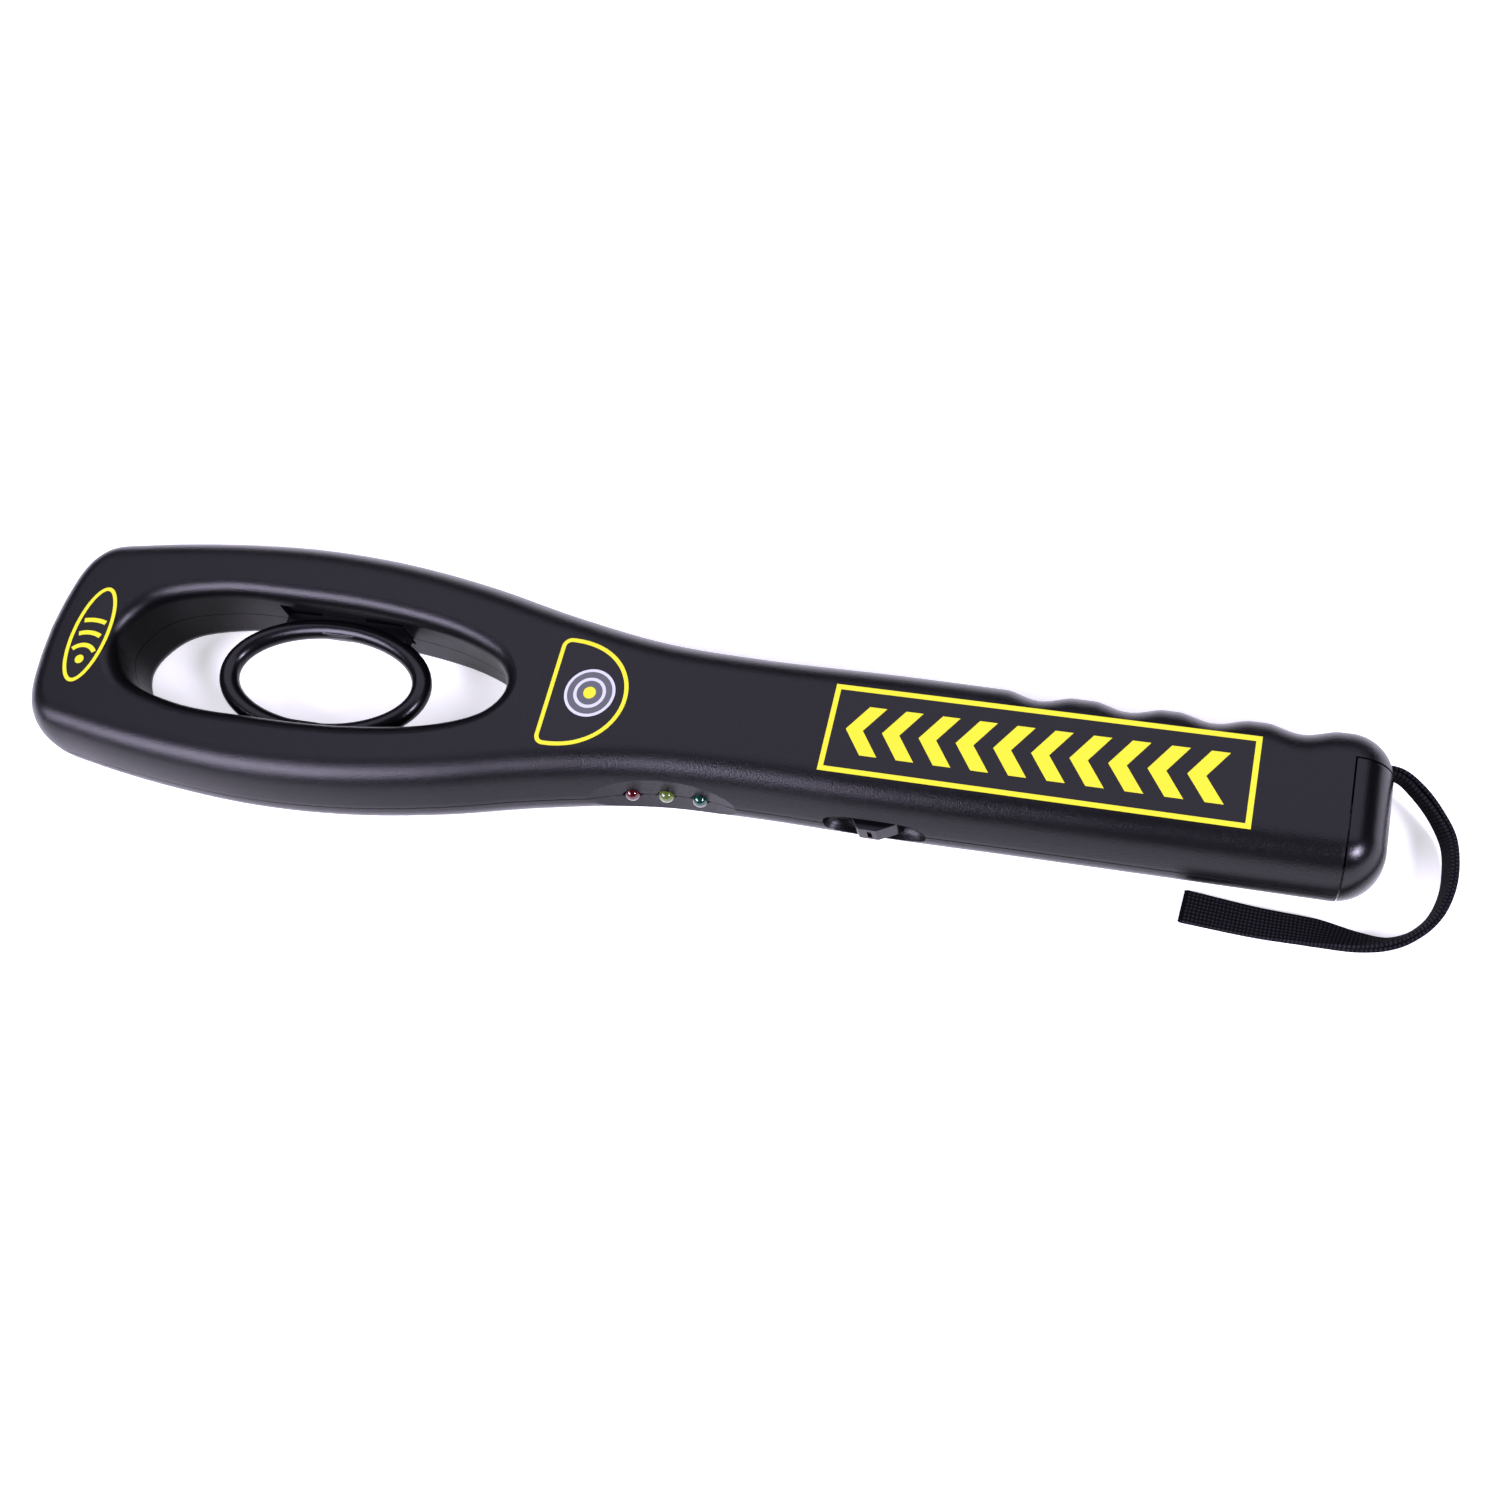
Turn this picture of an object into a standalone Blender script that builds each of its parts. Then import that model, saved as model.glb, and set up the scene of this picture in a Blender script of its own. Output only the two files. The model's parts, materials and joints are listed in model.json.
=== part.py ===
"""Hand-held security metal detector: a flat wand with a looped search head.

Lengths below are in millimetres and become metres when a mesh is made. +X runs along
the wand to the butt of the handle, +Y to the side with the finger grips, +Z up to the
labelled face. The wand lies on z = 0 and its two shells part at half height.
"""

import math

import bmesh
import bpy
import numpy as np
from mathutils import Matrix, Vector

MM = 0.001
GAP = 0.3

# Outside of the wand
NOSE_X = -205.0
BUTT_X = 205.0
THICK = 30.0
PARTING = THICK / 2
HANDLE_HALF = 22.2
SIDE_POINTS = (
    (NOSE_X, 0), (-204.3, 11), (-202.2, 22.6), (-198.9, 29.2), (-193.2, 34.1),
    (-180, 37.1), (-150, 40.8), (-120, 42.3), (-90, 40.7), (-60, 36.1),
    (-30, 29.3), (0, 24.2), (30, 22.8), (70, 23.0), (110, 22.6), (150, 22.3),
)
BUTT_RADIUS = 12.5
EDGE_STATIONS = (NOSE_X, -180, -120, 60, 190, BUTT_X)
EDGE_INSETS = (9.0, 10.3, 10.9, 11.6, 11.6, 10.8)
EDGE_POWER = 2.25
WALL = 2.2

# Finger grips
GRIP_CENTRES = (110.2, 134.6, 157.4, 180.3)
GRIP_LENGTH = 18.6
GRIP_DEPTH = 2.1
GRIP_BACKING = 17.9
GRIP_START = 95.0

# Window through the head
WINDOW_POINTS = (
    (-177, 0), (-170, 12.2), (-150, 18.8), (-120, 20), (-90, 18.8), (-62, 14),
    (-48, 7.3), (-44.3, 0),
)
WINDOW_ROUNDING = 5.0
PILLAR_WALL = 2.8

# Oval ring in the window
RING_X = -109.5
RING_LONG = 33.0
RING_SHORT = 17.9
RING_TUBE = 3.1
COIL_BORE = 1.6
POCKET_X = (-129.0, -85.5)
POCKET_Y = 21.6
POCKET_TOP = 23.0
POCKET_FLOOR = 11.0
TAB_LENGTH = 16.0
TAB_REACH = 24.5
TAB_HALF = 2.1
WEB_INNER = 15.0
INNER_COIL = 1.3

# Search coil in the head
COIL_X = -113.0
COIL_LONG = 81.0
COIL_SHORT = 33.5
COIL_Z = 6.0
COIL_TUBE = 2.0

# Indicator lamps and the scoop that they stand in
LAMP_X = (-1.0, 9.2, 19.4)
LAMP_RADIUS = 2.5
LAMP_TIP_Y = -23.3
LAMP_LENGTH = 8.6
SCOOP_X = 14.5
SCOOP_Y = -21.2
SCOOP_RADIUS = 80.0

# Slide switch
SWITCH_X = 70.7
RECESS_RINGS = (
    (-27.0, 15.4, 6.5), (-22.9, 14.6, 5.8), (-21.2, 14.2, 5.45),
    (-19.9, 13.3, 4.9), (-19.1, 12.0, 4.3),
)
RECESS_POWER = 3.2
KNOB_OUTLINE = (
    (64.2, -19.8), (64.6, -21.7), (66.6, -24.4), (72.0, -24.4), (77.2, -21.7),
    (78.4, -19.8),
)
KNOB_HALF = 3.4
SWITCH_TRAVEL = 4.0
STEM_HALF = 1.5

# Electronics
BOARD_X = (-16.0, 128.0)
BOARD_HALF = 17.0
BOARD_Z = (8.0, 9.6)
BOARD_SCREWS = ((-8.0, 10.0), (122.0, -10.0))
SPEAKER_X = 44.0
SPEAKER_RADIUS = 13.0
SPEAKER_Z = (2.9, 7.5)
MOTOR_X = (100.0, 114.0)
MOTOR_Y = 8.0
MOTOR_Z = 13.0
MOTOR_RADIUS = 3.0
TRIMMER_X = 98.0
TRIMMER_Y = -2.0

# Battery, its door and the strap
BATTERY_X = (146.0, 191.2)
BATTERY_Y = (-17.6, 8.9)
BATTERY_Z = (6.25, 23.75)
TERMINAL_Y = (-10.7, 2.0)
DOOR_X = 194.3
DOOR_Y = 10.9
DOOR_GAP = 0.5
CHAMBER_Y = (-18.4, 10.0)
CHAMBER_Z = (5.2, 24.8)
CHAMBER_START = 186.0
TONGUE_Y = (-9.0, -4.0)
TONGUE_X = 191.2
TONGUE_Z = (25.9, 27.3)
HOOK_Z = 28.3
PIN_X = 198.2
PIN_Y = 14.9
PIN_RADIUS = 1.3
STRAP_WIDTH = 9.5
STRAP_THICK = 2.7
STRAP_ROUTE = (
    (200.3, 14.8, 15.0), (206.5, 14.3, 14.6), (211.5, 11.5, 12.5), (217, 6.5, 9.2),
    (220.8, 0.5, 6.9), (222, -7, 5.9), (221.5, -14, 5.5), (219, -21, 5.4),
    (214.5, -26.3, 5.2), (208.5, -29.5, 4.7), (201, -30, 3.3), (190, -28.6, 2.1),
    (175, -28, 1.7), (155.5, -26.5, 1.7),
)
STRAP_LEANS = (0, 2, 8, 14, 19, 23, 26, 29, 34, 47, 70, 86, 90, 90)

# Screws
CASE_SCREWS = (
    (-184.3, 0), (-146, 24.3), (-146, -24.3), (-24, 0), (134.5, 14.5), (134.5, -14.5),
)
BOSS_RADIUS = 3.5
HEAD_RADIUS = 2.2
HEAD_RECESS_RADIUS = 2.55
SHANK_RADIUS = 1.0
PILOT_RADIUS = 1.35

# Labels, sunk flush in the upper face
LABEL_DEPTH = 0.6
LABEL_THICK = 0.3
HANDLE_LABEL = ((54.6, -13.5), (170.4, 13.3))
NECK_LABEL_X = (-29.3, -5.0)
NECK_LABEL_HALF = 17.5
NOSE_LABEL_CENTRE = (-185.0, -1.6)
NOSE_LABEL_HALVES = (6.7, 17.0)

FINISHES = {
    "black_plastic": ((0.012, 0.012, 0.014), 0.45, 0.0),
    "door_plastic": ((0.014, 0.014, 0.015), 0.35, 0.0),
    "ring_plastic": ((0.015, 0.015, 0.016), 0.32, 0.0),
    "label_yellow": ((0.95, 0.78, 0.02), 0.5, 0.0),
    "red_lens": ((0.35, 0.01, 0.01), 0.12, 0.0),
    "amber_lens": ((0.35, 0.3, 0.03), 0.12, 0.0),
    "green_lens": ((0.02, 0.22, 0.05), 0.12, 0.0),
    "webbing": ((0.01, 0.01, 0.011), 0.85, 0.0),
    "steel": ((0.6, 0.6, 0.6), 0.35, 1.0),
    "copper_wire": ((0.6, 0.25, 0.1), 0.4, 1.0),
    "board_green": ((0.02, 0.18, 0.06), 0.5, 0.0),
    "chip_black": ((0.02, 0.02, 0.02), 0.6, 0.0),
    "can_blue": ((0.02, 0.05, 0.3), 0.4, 0.0),
    "trimmer_blue": ((0.05, 0.15, 0.5), 0.5, 0.0),
    "rotor_white": ((0.8, 0.8, 0.75), 0.5, 0.0),
    "cell_copper": ((0.45, 0.28, 0.12), 0.35, 0.3),
    "lead_red": ((0.6, 0.02, 0.02), 0.5, 0.0),
    "lead_black": ((0.015, 0.015, 0.015), 0.5, 0.0),
}


def collection(name):
    """A collection of the scene, made on first use."""
    found = bpy.data.collections.get(name)
    if found is None:
        found = bpy.data.collections.new(name)
        bpy.context.scene.collection.children.link(found)
    return found


def finish(name):
    """The material of a named finish."""
    made = bpy.data.materials.get(name)
    if made is not None:
        return made
    colour, roughness, metallic = FINISHES[name]
    made = bpy.data.materials.new(name)
    made.use_nodes = True
    shader = made.node_tree.nodes["Principled BSDF"]
    shader.inputs["Base Color"].default_value = (*colour, 1)
    shader.inputs["Roughness"].default_value = roughness
    shader.inputs["Metallic"].default_value = metallic
    made.diffuse_color = (*colour, 1)
    return made


def placed(name, form, finish_name=None):
    """An object from a bmesh: a part with a finish, or a cutter without one."""
    bmesh.ops.recalc_face_normals(form, faces=form.faces)
    mesh = bpy.data.meshes.new(name)
    form.to_mesh(mesh)
    form.free()
    made = bpy.data.objects.new(name, mesh)
    if finish_name is None:
        made.hide_render = True
        made.display_type = "WIRE"
        collection("cutters").objects.link(made)
        return made
    mesh.materials.append(finish(finish_name))
    mesh.shade_smooth()
    mesh.set_sharp_from_angle(angle=math.radians(32))
    collection("detector_wand").objects.link(made)
    return made


def boolean(target, other, operation="DIFFERENCE"):
    """Cuts, joins or keeps the common part of two objects."""
    modifier = target.modifiers.new(other.name, "BOOLEAN")
    modifier.solver = "EXACT"
    modifier.operation = operation
    modifier.object = other
    return target


def baked(name, source, finish_name):
    """A part that holds the finished mesh of another object."""
    bpy.context.view_layer.update()
    graph = bpy.context.evaluated_depsgraph_get()
    mesh = bpy.data.meshes.new_from_object(source.evaluated_get(graph))
    mesh.name = name
    mesh.materials.clear()
    mesh.materials.append(finish(finish_name))
    return named(name, mesh)


def named(name, mesh):
    """A part that shows a finished mesh."""
    made = bpy.data.objects.new(name, mesh)
    collection("detector_wand").objects.link(made)
    return made


def block(name, low, high, finish_name=None, rounding=0.0):
    """A box between two corners, with rounded edges if asked."""
    form = bmesh.new()
    size = [(b - a) * MM for a, b in zip(low, high)]
    middle = [(a + b) / 2 * MM for a, b in zip(low, high)]
    bmesh.ops.create_cube(form, size=1)
    bmesh.ops.scale(form, vec=size, verts=form.verts)
    if rounding:
        bmesh.ops.bevel(
            form, geom=form.edges[:], offset=rounding * MM, segments=2, profile=0.5,
            affect="EDGES",
        )
    bmesh.ops.translate(form, vec=middle, verts=form.verts)
    return placed(name, form, finish_name)


def rod(name, centre, radius, length, axis="Z", finish_name=None, sides=16, end_radius=None):
    """A round rod centred on a point."""
    form = bmesh.new()
    bmesh.ops.create_cone(
        form, cap_ends=True, segments=sides, radius1=radius * MM,
        radius2=(radius if end_radius is None else end_radius) * MM, depth=length * MM,
    )
    turn = {
        "X": Matrix.Rotation(math.pi / 2, 4, "Y"),
        "Y": Matrix.Rotation(math.pi / 2, 4, "X"),
        "Z": Matrix.Identity(4),
    }[axis]
    bmesh.ops.transform(form, matrix=turn, verts=form.verts)
    bmesh.ops.translate(form, vec=Vector(centre) * MM, verts=form.verts)
    return placed(name, form, finish_name)


def loft(name, rings, finish_name=None):
    """A closed body through rings of the same number of points."""
    form = bmesh.new()
    rows = [[form.verts.new(Vector(point) * MM) for point in ring] for ring in rings]
    count = len(rows[0])
    for lower, upper in zip(rows, rows[1:]):
        for i in range(count):
            j = (i + 1) % count
            form.faces.new((lower[i], lower[j], upper[j], upper[i]))
    form.faces.new(rows[0])
    form.faces.new(rows[-1])
    return placed(name, form, finish_name)


def prism(name, outline, low, high, finish_name=None):
    """An upright body on a flat outline."""
    rings = [[(x, y, z) for x, y in outline] for z in (low, high)]
    return loft(name, rings, finish_name)


def weighted(a, b, start, end, at):
    """The blend of two points for a knot value between theirs."""
    share = (at - start) / (end - start)
    return a * (1 - share) + b * share


def smooth_curve(points, steps=16, closed=False):
    """A dense centripetal curve through the given points."""
    knots = [Vector((*point, 0)[:3]) for point in points]
    if closed:
        chain = [knots[-1], *knots, knots[0], knots[1]]
    else:
        chain = [knots[0] * 2 - knots[1], *knots, knots[-1] * 2 - knots[-2]]
    dense = []
    for a, b, c, d in zip(chain, chain[1:], chain[2:], chain[3:]):
        t1 = math.sqrt((b - a).length)
        t2 = t1 + math.sqrt((c - b).length)
        t3 = t2 + math.sqrt((d - c).length)
        for step in range(steps):
            at = t1 + (t2 - t1) * step / steps
            ab = weighted(a, b, 0, t1, at)
            bc = weighted(b, c, t1, t2, at)
            cd = weighted(c, d, t2, t3, at)
            early = weighted(ab, bc, 0, t2, at)
            late = weighted(bc, cd, t1, t3, at)
            dense.append(weighted(early, late, t1, t2, at))
    if not closed:
        dense.append(knots[-1])
    return dense


def thinned(dense, turn=9.0, longest=14.0):
    """Fewer points of a dense curve: one at each small turn or long stretch."""
    kept = [dense[0]]
    heading = dense[1] - dense[0]
    for point, after in zip(dense[1:], dense[2:]):
        here = after - point
        turned = math.degrees(heading.angle(here))
        if turned > turn or (point - kept[-1]).length > longest:
            kept.append(point)
            heading = here
    kept.append(dense[-1])
    return kept


def even_curve(points, spacing):
    """Points at an even spacing along a smooth curve."""
    dense = smooth_curve(points)
    kept = [dense[0]]
    run = 0.0
    for before, point in zip(dense, dense[1:]):
        run += (point - before).length
        if run >= spacing:
            kept.append(point)
            run = 0.0
    if (kept[-1] - dense[-1]).length < spacing / 2:
        kept.pop()
    kept.append(dense[-1])
    return kept


def grip_dip(x):
    """How deep the finger grips are at a station."""
    for centre in GRIP_CENTRES:
        away = abs(x - centre) / (GRIP_LENGTH / 2)
        if away < 1:
            return GRIP_DEPTH * math.cos(away * math.pi / 2) ** 1.6
    return 0.0


def half_outline():
    """Half of the plan outline without grips, from the nose to the butt."""
    side = thinned(smooth_curve(SIDE_POINTS))
    centre_x = BUTT_X - BUTT_RADIUS
    centre_y = HANDLE_HALF - BUTT_RADIUS
    corner_steps = 7
    corner = []
    for step in range(corner_steps + 1):
        angle = math.pi / 2 * (1 - step / corner_steps)
        across = BUTT_RADIUS * math.cos(angle)
        along = BUTT_RADIUS * math.sin(angle)
        corner.append((centre_x + across, centre_y + along))
    return [(point.x, point.y) for point in side], corner


def plan_outline():
    """The whole plan outline, counter-clockwise, and its inward directions."""
    side, corner = half_outline()
    near = [(x, -y) for x, y in side + corner]
    last_x = GRIP_CENTRES[-1] + GRIP_LENGTH / 2
    stations = np.linspace(last_x, GRIP_START, 34)
    xs = [x for x, _ in side + corner[:1]]
    ys = [y for _, y in side + corner[:1]]
    grips = [(x, float(np.interp(x, xs, ys))) for x in stations]
    far = corner[::-1] + grips + [p for p in side[::-1] if p[0] < GRIP_START - 2]
    points = near + far[:-1]
    inward = []
    for before, after in zip(points[-1:] + points[:-1], points[1:] + points[:1]):
        along = Vector((after[0] - before[0], after[1] - before[1])).normalized()
        inward.append((-along.y, along.x))
    return points, inward


def edge_profile(steps):
    """Share of the inset and of the height on the way from the parting to the face."""
    profile = []
    for step in range(steps + 1):
        angle = math.pi / 2 * step / steps
        sink = 1 - abs(math.cos(angle)) ** (2 / EDGE_POWER) if step < steps else 1.0
        profile.append((sink, math.sin(angle) ** (2 / EDGE_POWER)))
    return profile


def outline_ring(share, z, wall=0.0, grips=True):
    """The outline drawn in by a share of the edge rounding, at one height."""
    points, inward = plan_outline()
    ring = []
    for (x, y), (dx, dy) in zip(points, inward):
        most = float(np.interp(x, EDGE_STATIONS, EDGE_INSETS)) - wall
        inset = wall + most * share
        dip = grip_dip(x) if grips and y > 0 else 0.0
        ring.append((x + dx * inset, y + dy * inset - dip, z))
    return ring


def outer_rings(up, steps=6, start=GAP / 2):
    """Rings of one outer half, from the parting plane outward."""
    height = PARTING - start
    return [
        outline_ring(sink, PARTING + up * (start + height * rise))
        for sink, rise in edge_profile(steps)
    ]


def window_outline():
    """The closed outline of the window, counter-clockwise."""
    upper = [Vector((x, y, 0)) for x, y in WINDOW_POINTS]
    lower = [Vector((x, -y, 0)) for x, y in WINDOW_POINTS[1:-1]]
    loop = thinned(smooth_curve(lower[::-1] + upper, closed=True), turn=10, longest=11)[:-1]
    return [(point.x, point.y) for point in loop[::-1]]


def grown(outline, distance, z):
    """A closed outline moved outward, at one height."""
    ring = []
    for before, here, after in zip(outline[-1:] + outline[:-1], outline, outline[1:] + outline[:1]):
        along = Vector((after[0] - before[0], after[1] - before[1])).normalized()
        ring.append((here[0] + along.y * distance, here[1] - along.x * distance, z))
    return ring


def window_cutter():
    """The window with its rims rounded outward at both faces."""
    outline = window_outline()
    steps = 4
    flare = []
    for step in range(steps):
        angle = math.pi / 2 * step / steps
        flare.append((WINDOW_ROUNDING * (1 - math.cos(angle)), WINDOW_ROUNDING * (1 - math.sin(angle))))
    last_grow = WINDOW_ROUNDING * 1.12
    rings = [grown(outline, last_grow, -GAP)]
    rings += [grown(outline, out, depth) for out, depth in flare[::-1]]
    rings += [grown(outline, out, THICK - depth) for out, depth in flare]
    rings.append(grown(outline, last_grow, THICK + GAP))
    return loft("cut_window", rings)


def cavity_cutter():
    """The room inside both shells, less the solid places that the shells keep."""
    profile = edge_profile(5)
    rings = []
    for sink, rise in profile[::-1]:
        rings.append(outline_ring(sink, PARTING - (PARTING - WALL) * rise, WALL, grips=False))
    for sink, rise in profile[1:]:
        rings.append(outline_ring(sink, PARTING + (PARTING - WALL) * rise, WALL, grips=False))
    cavity = loft("cut_cavity", rings)
    pillar_ring = grown(window_outline(), PILLAR_WALL, 0)
    solid_places = [
        prism("keep_window_wall", [(x, y) for x, y, _ in pillar_ring], -5, THICK + 5),
        block("keep_grip_backing", (GRIP_START - 3, GRIP_BACKING, -5), (BUTT_X + 5, 40, THICK + 5)),
        block("keep_lamp_wall", (-14, -40, -5), (32, -17.8, THICK + 5)),
        block("keep_switch_wall", (52, -40, -5), (90, -17.2, THICK + 5)),
        block("keep_butt", (CHAMBER_START, CHAMBER_Y[1], -5), (BUTT_X + 5, 41, THICK + 5)),
        block("keep_chamber_side", (CHAMBER_START, -41, -5), (BUTT_X + 5, CHAMBER_Y[0], THICK + 5)),
        block("keep_chamber_roof", (CHAMBER_START, -42, CHAMBER_Z[1]), (BUTT_X + 5, 42, THICK + 5)),
        block("keep_chamber_floor", (CHAMBER_START, -42, -5), (BUTT_X + 5, 42, CHAMBER_Z[0])),
    ]
    for x, y in CASE_SCREWS:
        solid_places.append(rod(f"keep_boss_{x}_{y}", (x, y, PARTING), BOSS_RADIUS, THICK + 10))
    for place in solid_places:
        boolean(cavity, place)
    return cavity


def scoop_cutter():
    """The shallow hollow scoop that the lamps stand in."""
    steps = 8
    reach = 31.0
    arc = []
    for step in range(steps + 1):
        x = SCOOP_X - reach + 2 * reach * step / steps
        drop = SCOOP_RADIUS - math.sqrt(SCOOP_RADIUS ** 2 - (x - SCOOP_X) ** 2)
        arc.append((x, SCOOP_Y - drop))
    outline = [(SCOOP_X - reach, -45), (SCOOP_X + reach, -45)] + arc[::-1]
    return prism("cut_lamp_scoop", outline, -2, THICK + 2)


def recess_cutter():
    """The oval bowl that the switch knob slides in."""
    sides = 24
    rings = []
    for y, half_x, half_z in RECESS_RINGS:
        ring = []
        for side in range(sides):
            angle = 2 * math.pi * side / sides
            bulge = (abs(math.cos(angle)) ** RECESS_POWER + abs(math.sin(angle)) ** RECESS_POWER)
            reach = bulge ** (-1 / RECESS_POWER)
            ring.append((
                SWITCH_X + half_x * reach * math.cos(angle), y,
                PARTING + half_z * reach * math.sin(angle),
            ))
        rings.append(ring)
    return loft("cut_switch_recess", rings)


def shared_cutters():
    """What is cut from both shells."""
    cutters = [cavity_cutter(), window_cutter(), scoop_cutter(), recess_cutter()]
    stem_half_x = STEM_HALF + SWITCH_TRAVEL + 0.4
    cutters.append(block(
        "cut_stem_slot", (SWITCH_X - stem_half_x, -20.5, PARTING - 1.6),
        (SWITCH_X + stem_half_x, -16.5, PARTING + 1.6),
    ))
    for number, x in enumerate(LAMP_X, 1):
        cutters.append(rod(
            f"cut_lamp_{number}", (x, -20, PARTING), LAMP_RADIUS + GAP, 12, "Y", sides=20,
        ))
    cutters.append(block(
        "cut_door", (DOOR_X - DOOR_GAP / 2, -50, -5), (BUTT_X + 5, DOOR_Y + DOOR_GAP / 2, THICK + 5),
    ))
    cutters.append(block("cut_strap_room", (196.4, 12.8, 9.3), (BUTT_X + 4, 17.0, 20.7)))
    cutters.append(rod("cut_strap_pin", (PIN_X, PIN_Y, PARTING), PIN_RADIUS + 0.35, 20))
    for side in (-1, 1):
        near, far = sorted((side * 18.0, side * 26.0))
        cutters.append(block(
            f"cut_tab_slot_{side}", (RING_X - TAB_LENGTH / 2 - GAP, near, PARTING - TAB_HALF - GAP),
            (RING_X + TAB_LENGTH / 2 + GAP, far, PARTING + TAB_HALF + GAP),
        ))
    return cutters


def pocket_cutter(name, low_z, high_z):
    """The notch in both window walls that the ring's sides rest in."""
    return block(name, (POCKET_X[0], -POCKET_Y, low_z), (POCKET_X[1], POCKET_Y, high_z))


def keeper_cutters(up):
    """The hooked channel for one tongue of the door, in the upper or lower shell."""
    def level(z):
        return z if up > 0 else THICK - z

    def room(name, x, y, z):
        low_z, high_z = sorted((level(z[0]), level(z[1])))
        return block(f"{name}_{up}", (x[0], y[0], low_z), (x[1], y[1], high_z))

    mouth = TONGUE_Y[0] - GAP
    y_range = (mouth - 6.3, TONGUE_Y[1] + 0.4)
    back = TONGUE_X - 0.4
    return [
        room("cut_tongue_channel", (back, DOOR_X + 3), y_range, (CHAMBER_Z[1] - 1, TONGUE_Z[1] + GAP)),
        room("cut_hook_channel", (back, 192.7), y_range, (TONGUE_Z[1], HOOK_Z + GAP)),
        room("cut_hook_mouth", (192.0, DOOR_X + 3), (y_range[0], mouth), (TONGUE_Z[1], HOOK_Z + GAP)),
    ]


def label_outlines():
    """Plan outlines of the three labels."""
    (x0, y0), (x1, y1) = HANDLE_LABEL
    handle = rounded_rectangle(x0, y0, x1, y1, 1.0)
    centre_x, centre_y = NOSE_LABEL_CENTRE
    half_x, half_y = NOSE_LABEL_HALVES
    nose = []
    for step in range(32):
        angle = 2 * math.pi * step / 32
        nose.append((centre_x + half_x * math.cos(angle), centre_y + half_y * math.sin(angle)))
    return {"handle_label": handle, "neck_label": neck_outline(), "nose_label": nose}


def neck_outline():
    """A D with its bow toward the handle and softly rounded corners."""
    left, tip = NECK_LABEL_X
    corner = 3.0
    points = [(left, NECK_LABEL_HALF - corner), (left, corner - NECK_LABEL_HALF)]
    for step in range(3):
        angle = math.pi + math.pi / 2 * (step + 1) / 3
        points.append((
            left + corner + corner * math.cos(angle),
            corner - NECK_LABEL_HALF + corner * math.sin(angle),
        ))
    reach = tip - (left + corner)
    for step in range(1, 12):
        angle = math.pi * step / 12 - math.pi / 2
        points.append((
            left + corner + reach * math.cos(angle) ** 0.9, NECK_LABEL_HALF * math.sin(angle),
        ))
    for step in range(3):
        angle = math.pi / 2 + math.pi / 2 * step / 3
        points.append((
            left + corner + corner * math.cos(angle),
            NECK_LABEL_HALF - corner + corner * math.sin(angle),
        ))
    return points


def rounded_rectangle(x0, y0, x1, y1, radius):
    """A rectangle with rounded corners, counter-clockwise."""
    points = []
    corners = ((x1, y0, -1), (x1, y1, 0), (x0, y1, 1), (x0, y0, 2))
    for x, y, quarter in corners:
        middle = (x0 + x1) / 2, (y0 + y1) / 2
        centre = x + math.copysign(radius, middle[0] - x), y + math.copysign(radius, middle[1] - y)
        for step in range(3):
            angle = math.pi / 2 * (quarter + step / 2)
            points.append((centre[0] + radius * math.cos(angle), centre[1] + radius * math.sin(angle)))
    return points


def label_pockets():
    """The shallow pockets that the labels are stuck in."""
    pockets = []
    for name, outline in label_outlines().items():
        ring = grown(outline, GAP, 0)
        pockets.append(prism(
            f"cut_{name}", [(x, y) for x, y, _ in ring], THICK - LABEL_DEPTH, THICK + 2,
        ))
    return pockets


def make_labels():
    """Three thin stick-on labels."""
    for name, outline in label_outlines().items():
        prism(name, outline, THICK - LABEL_THICK, THICK, "label_yellow")


def make_top_shell(shared):
    """The upper half of the case."""
    shell = loft("top_shell", outer_rings(1), "black_plastic")
    cutters = shared + keeper_cutters(1) + label_pockets()
    cutters.append(pocket_cutter("cut_upper_pocket", PARTING - 2, POCKET_TOP))
    for x, y in CASE_SCREWS:
        cutters.append(rod(f"cut_pilot_{x}_{y}", (x, y, PARTING), PILOT_RADIUS, 16, sides=12))
    for cutter in cutters:
        boolean(shell, cutter)
    return shell


def make_bottom_shell(shared):
    """The lower half of the case, with the screw holes and the sounder slots."""
    shell = loft("bottom_shell", outer_rings(-1), "black_plastic")
    cutters = shared + keeper_cutters(-1)
    cutters.append(pocket_cutter("cut_lower_pocket", POCKET_FLOOR, PARTING + 2))
    for x, y in CASE_SCREWS:
        cutters.append(rod(f"cut_shank_{x}_{y}", (x, y, PARTING), PILOT_RADIUS + 0.15, 40, sides=12))
        cutters.append(rod(f"cut_head_{x}_{y}", (x, y, 0), HEAD_RECESS_RADIUS, 9))
    for slot in range(-2, 3):
        x = SPEAKER_X + slot * 4.0
        half = 8.0 - abs(slot) * 1.2
        cutters.append(block(f"cut_sounder_slot_{slot}", (x - 0.9, -half, -2), (x + 0.9, half, 5)))
    cutters.append(rod("cut_trimmer_hole", (TRIMMER_X, TRIMMER_Y, 0), 2.2, 8, sides=16))
    for number, (x, y) in enumerate(BOARD_SCREWS, 1):
        post = rod(f"join_board_post_{number}", (x, y, 4.4), 2.6, 6.4)
        boolean(shell, post, "UNION")
        cutters.append(rod(f"cut_board_post_{number}", (x, y, 6), PILOT_RADIUS, 6, sides=12))
    for cutter in cutters:
        boolean(shell, cutter)
    return shell


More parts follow.
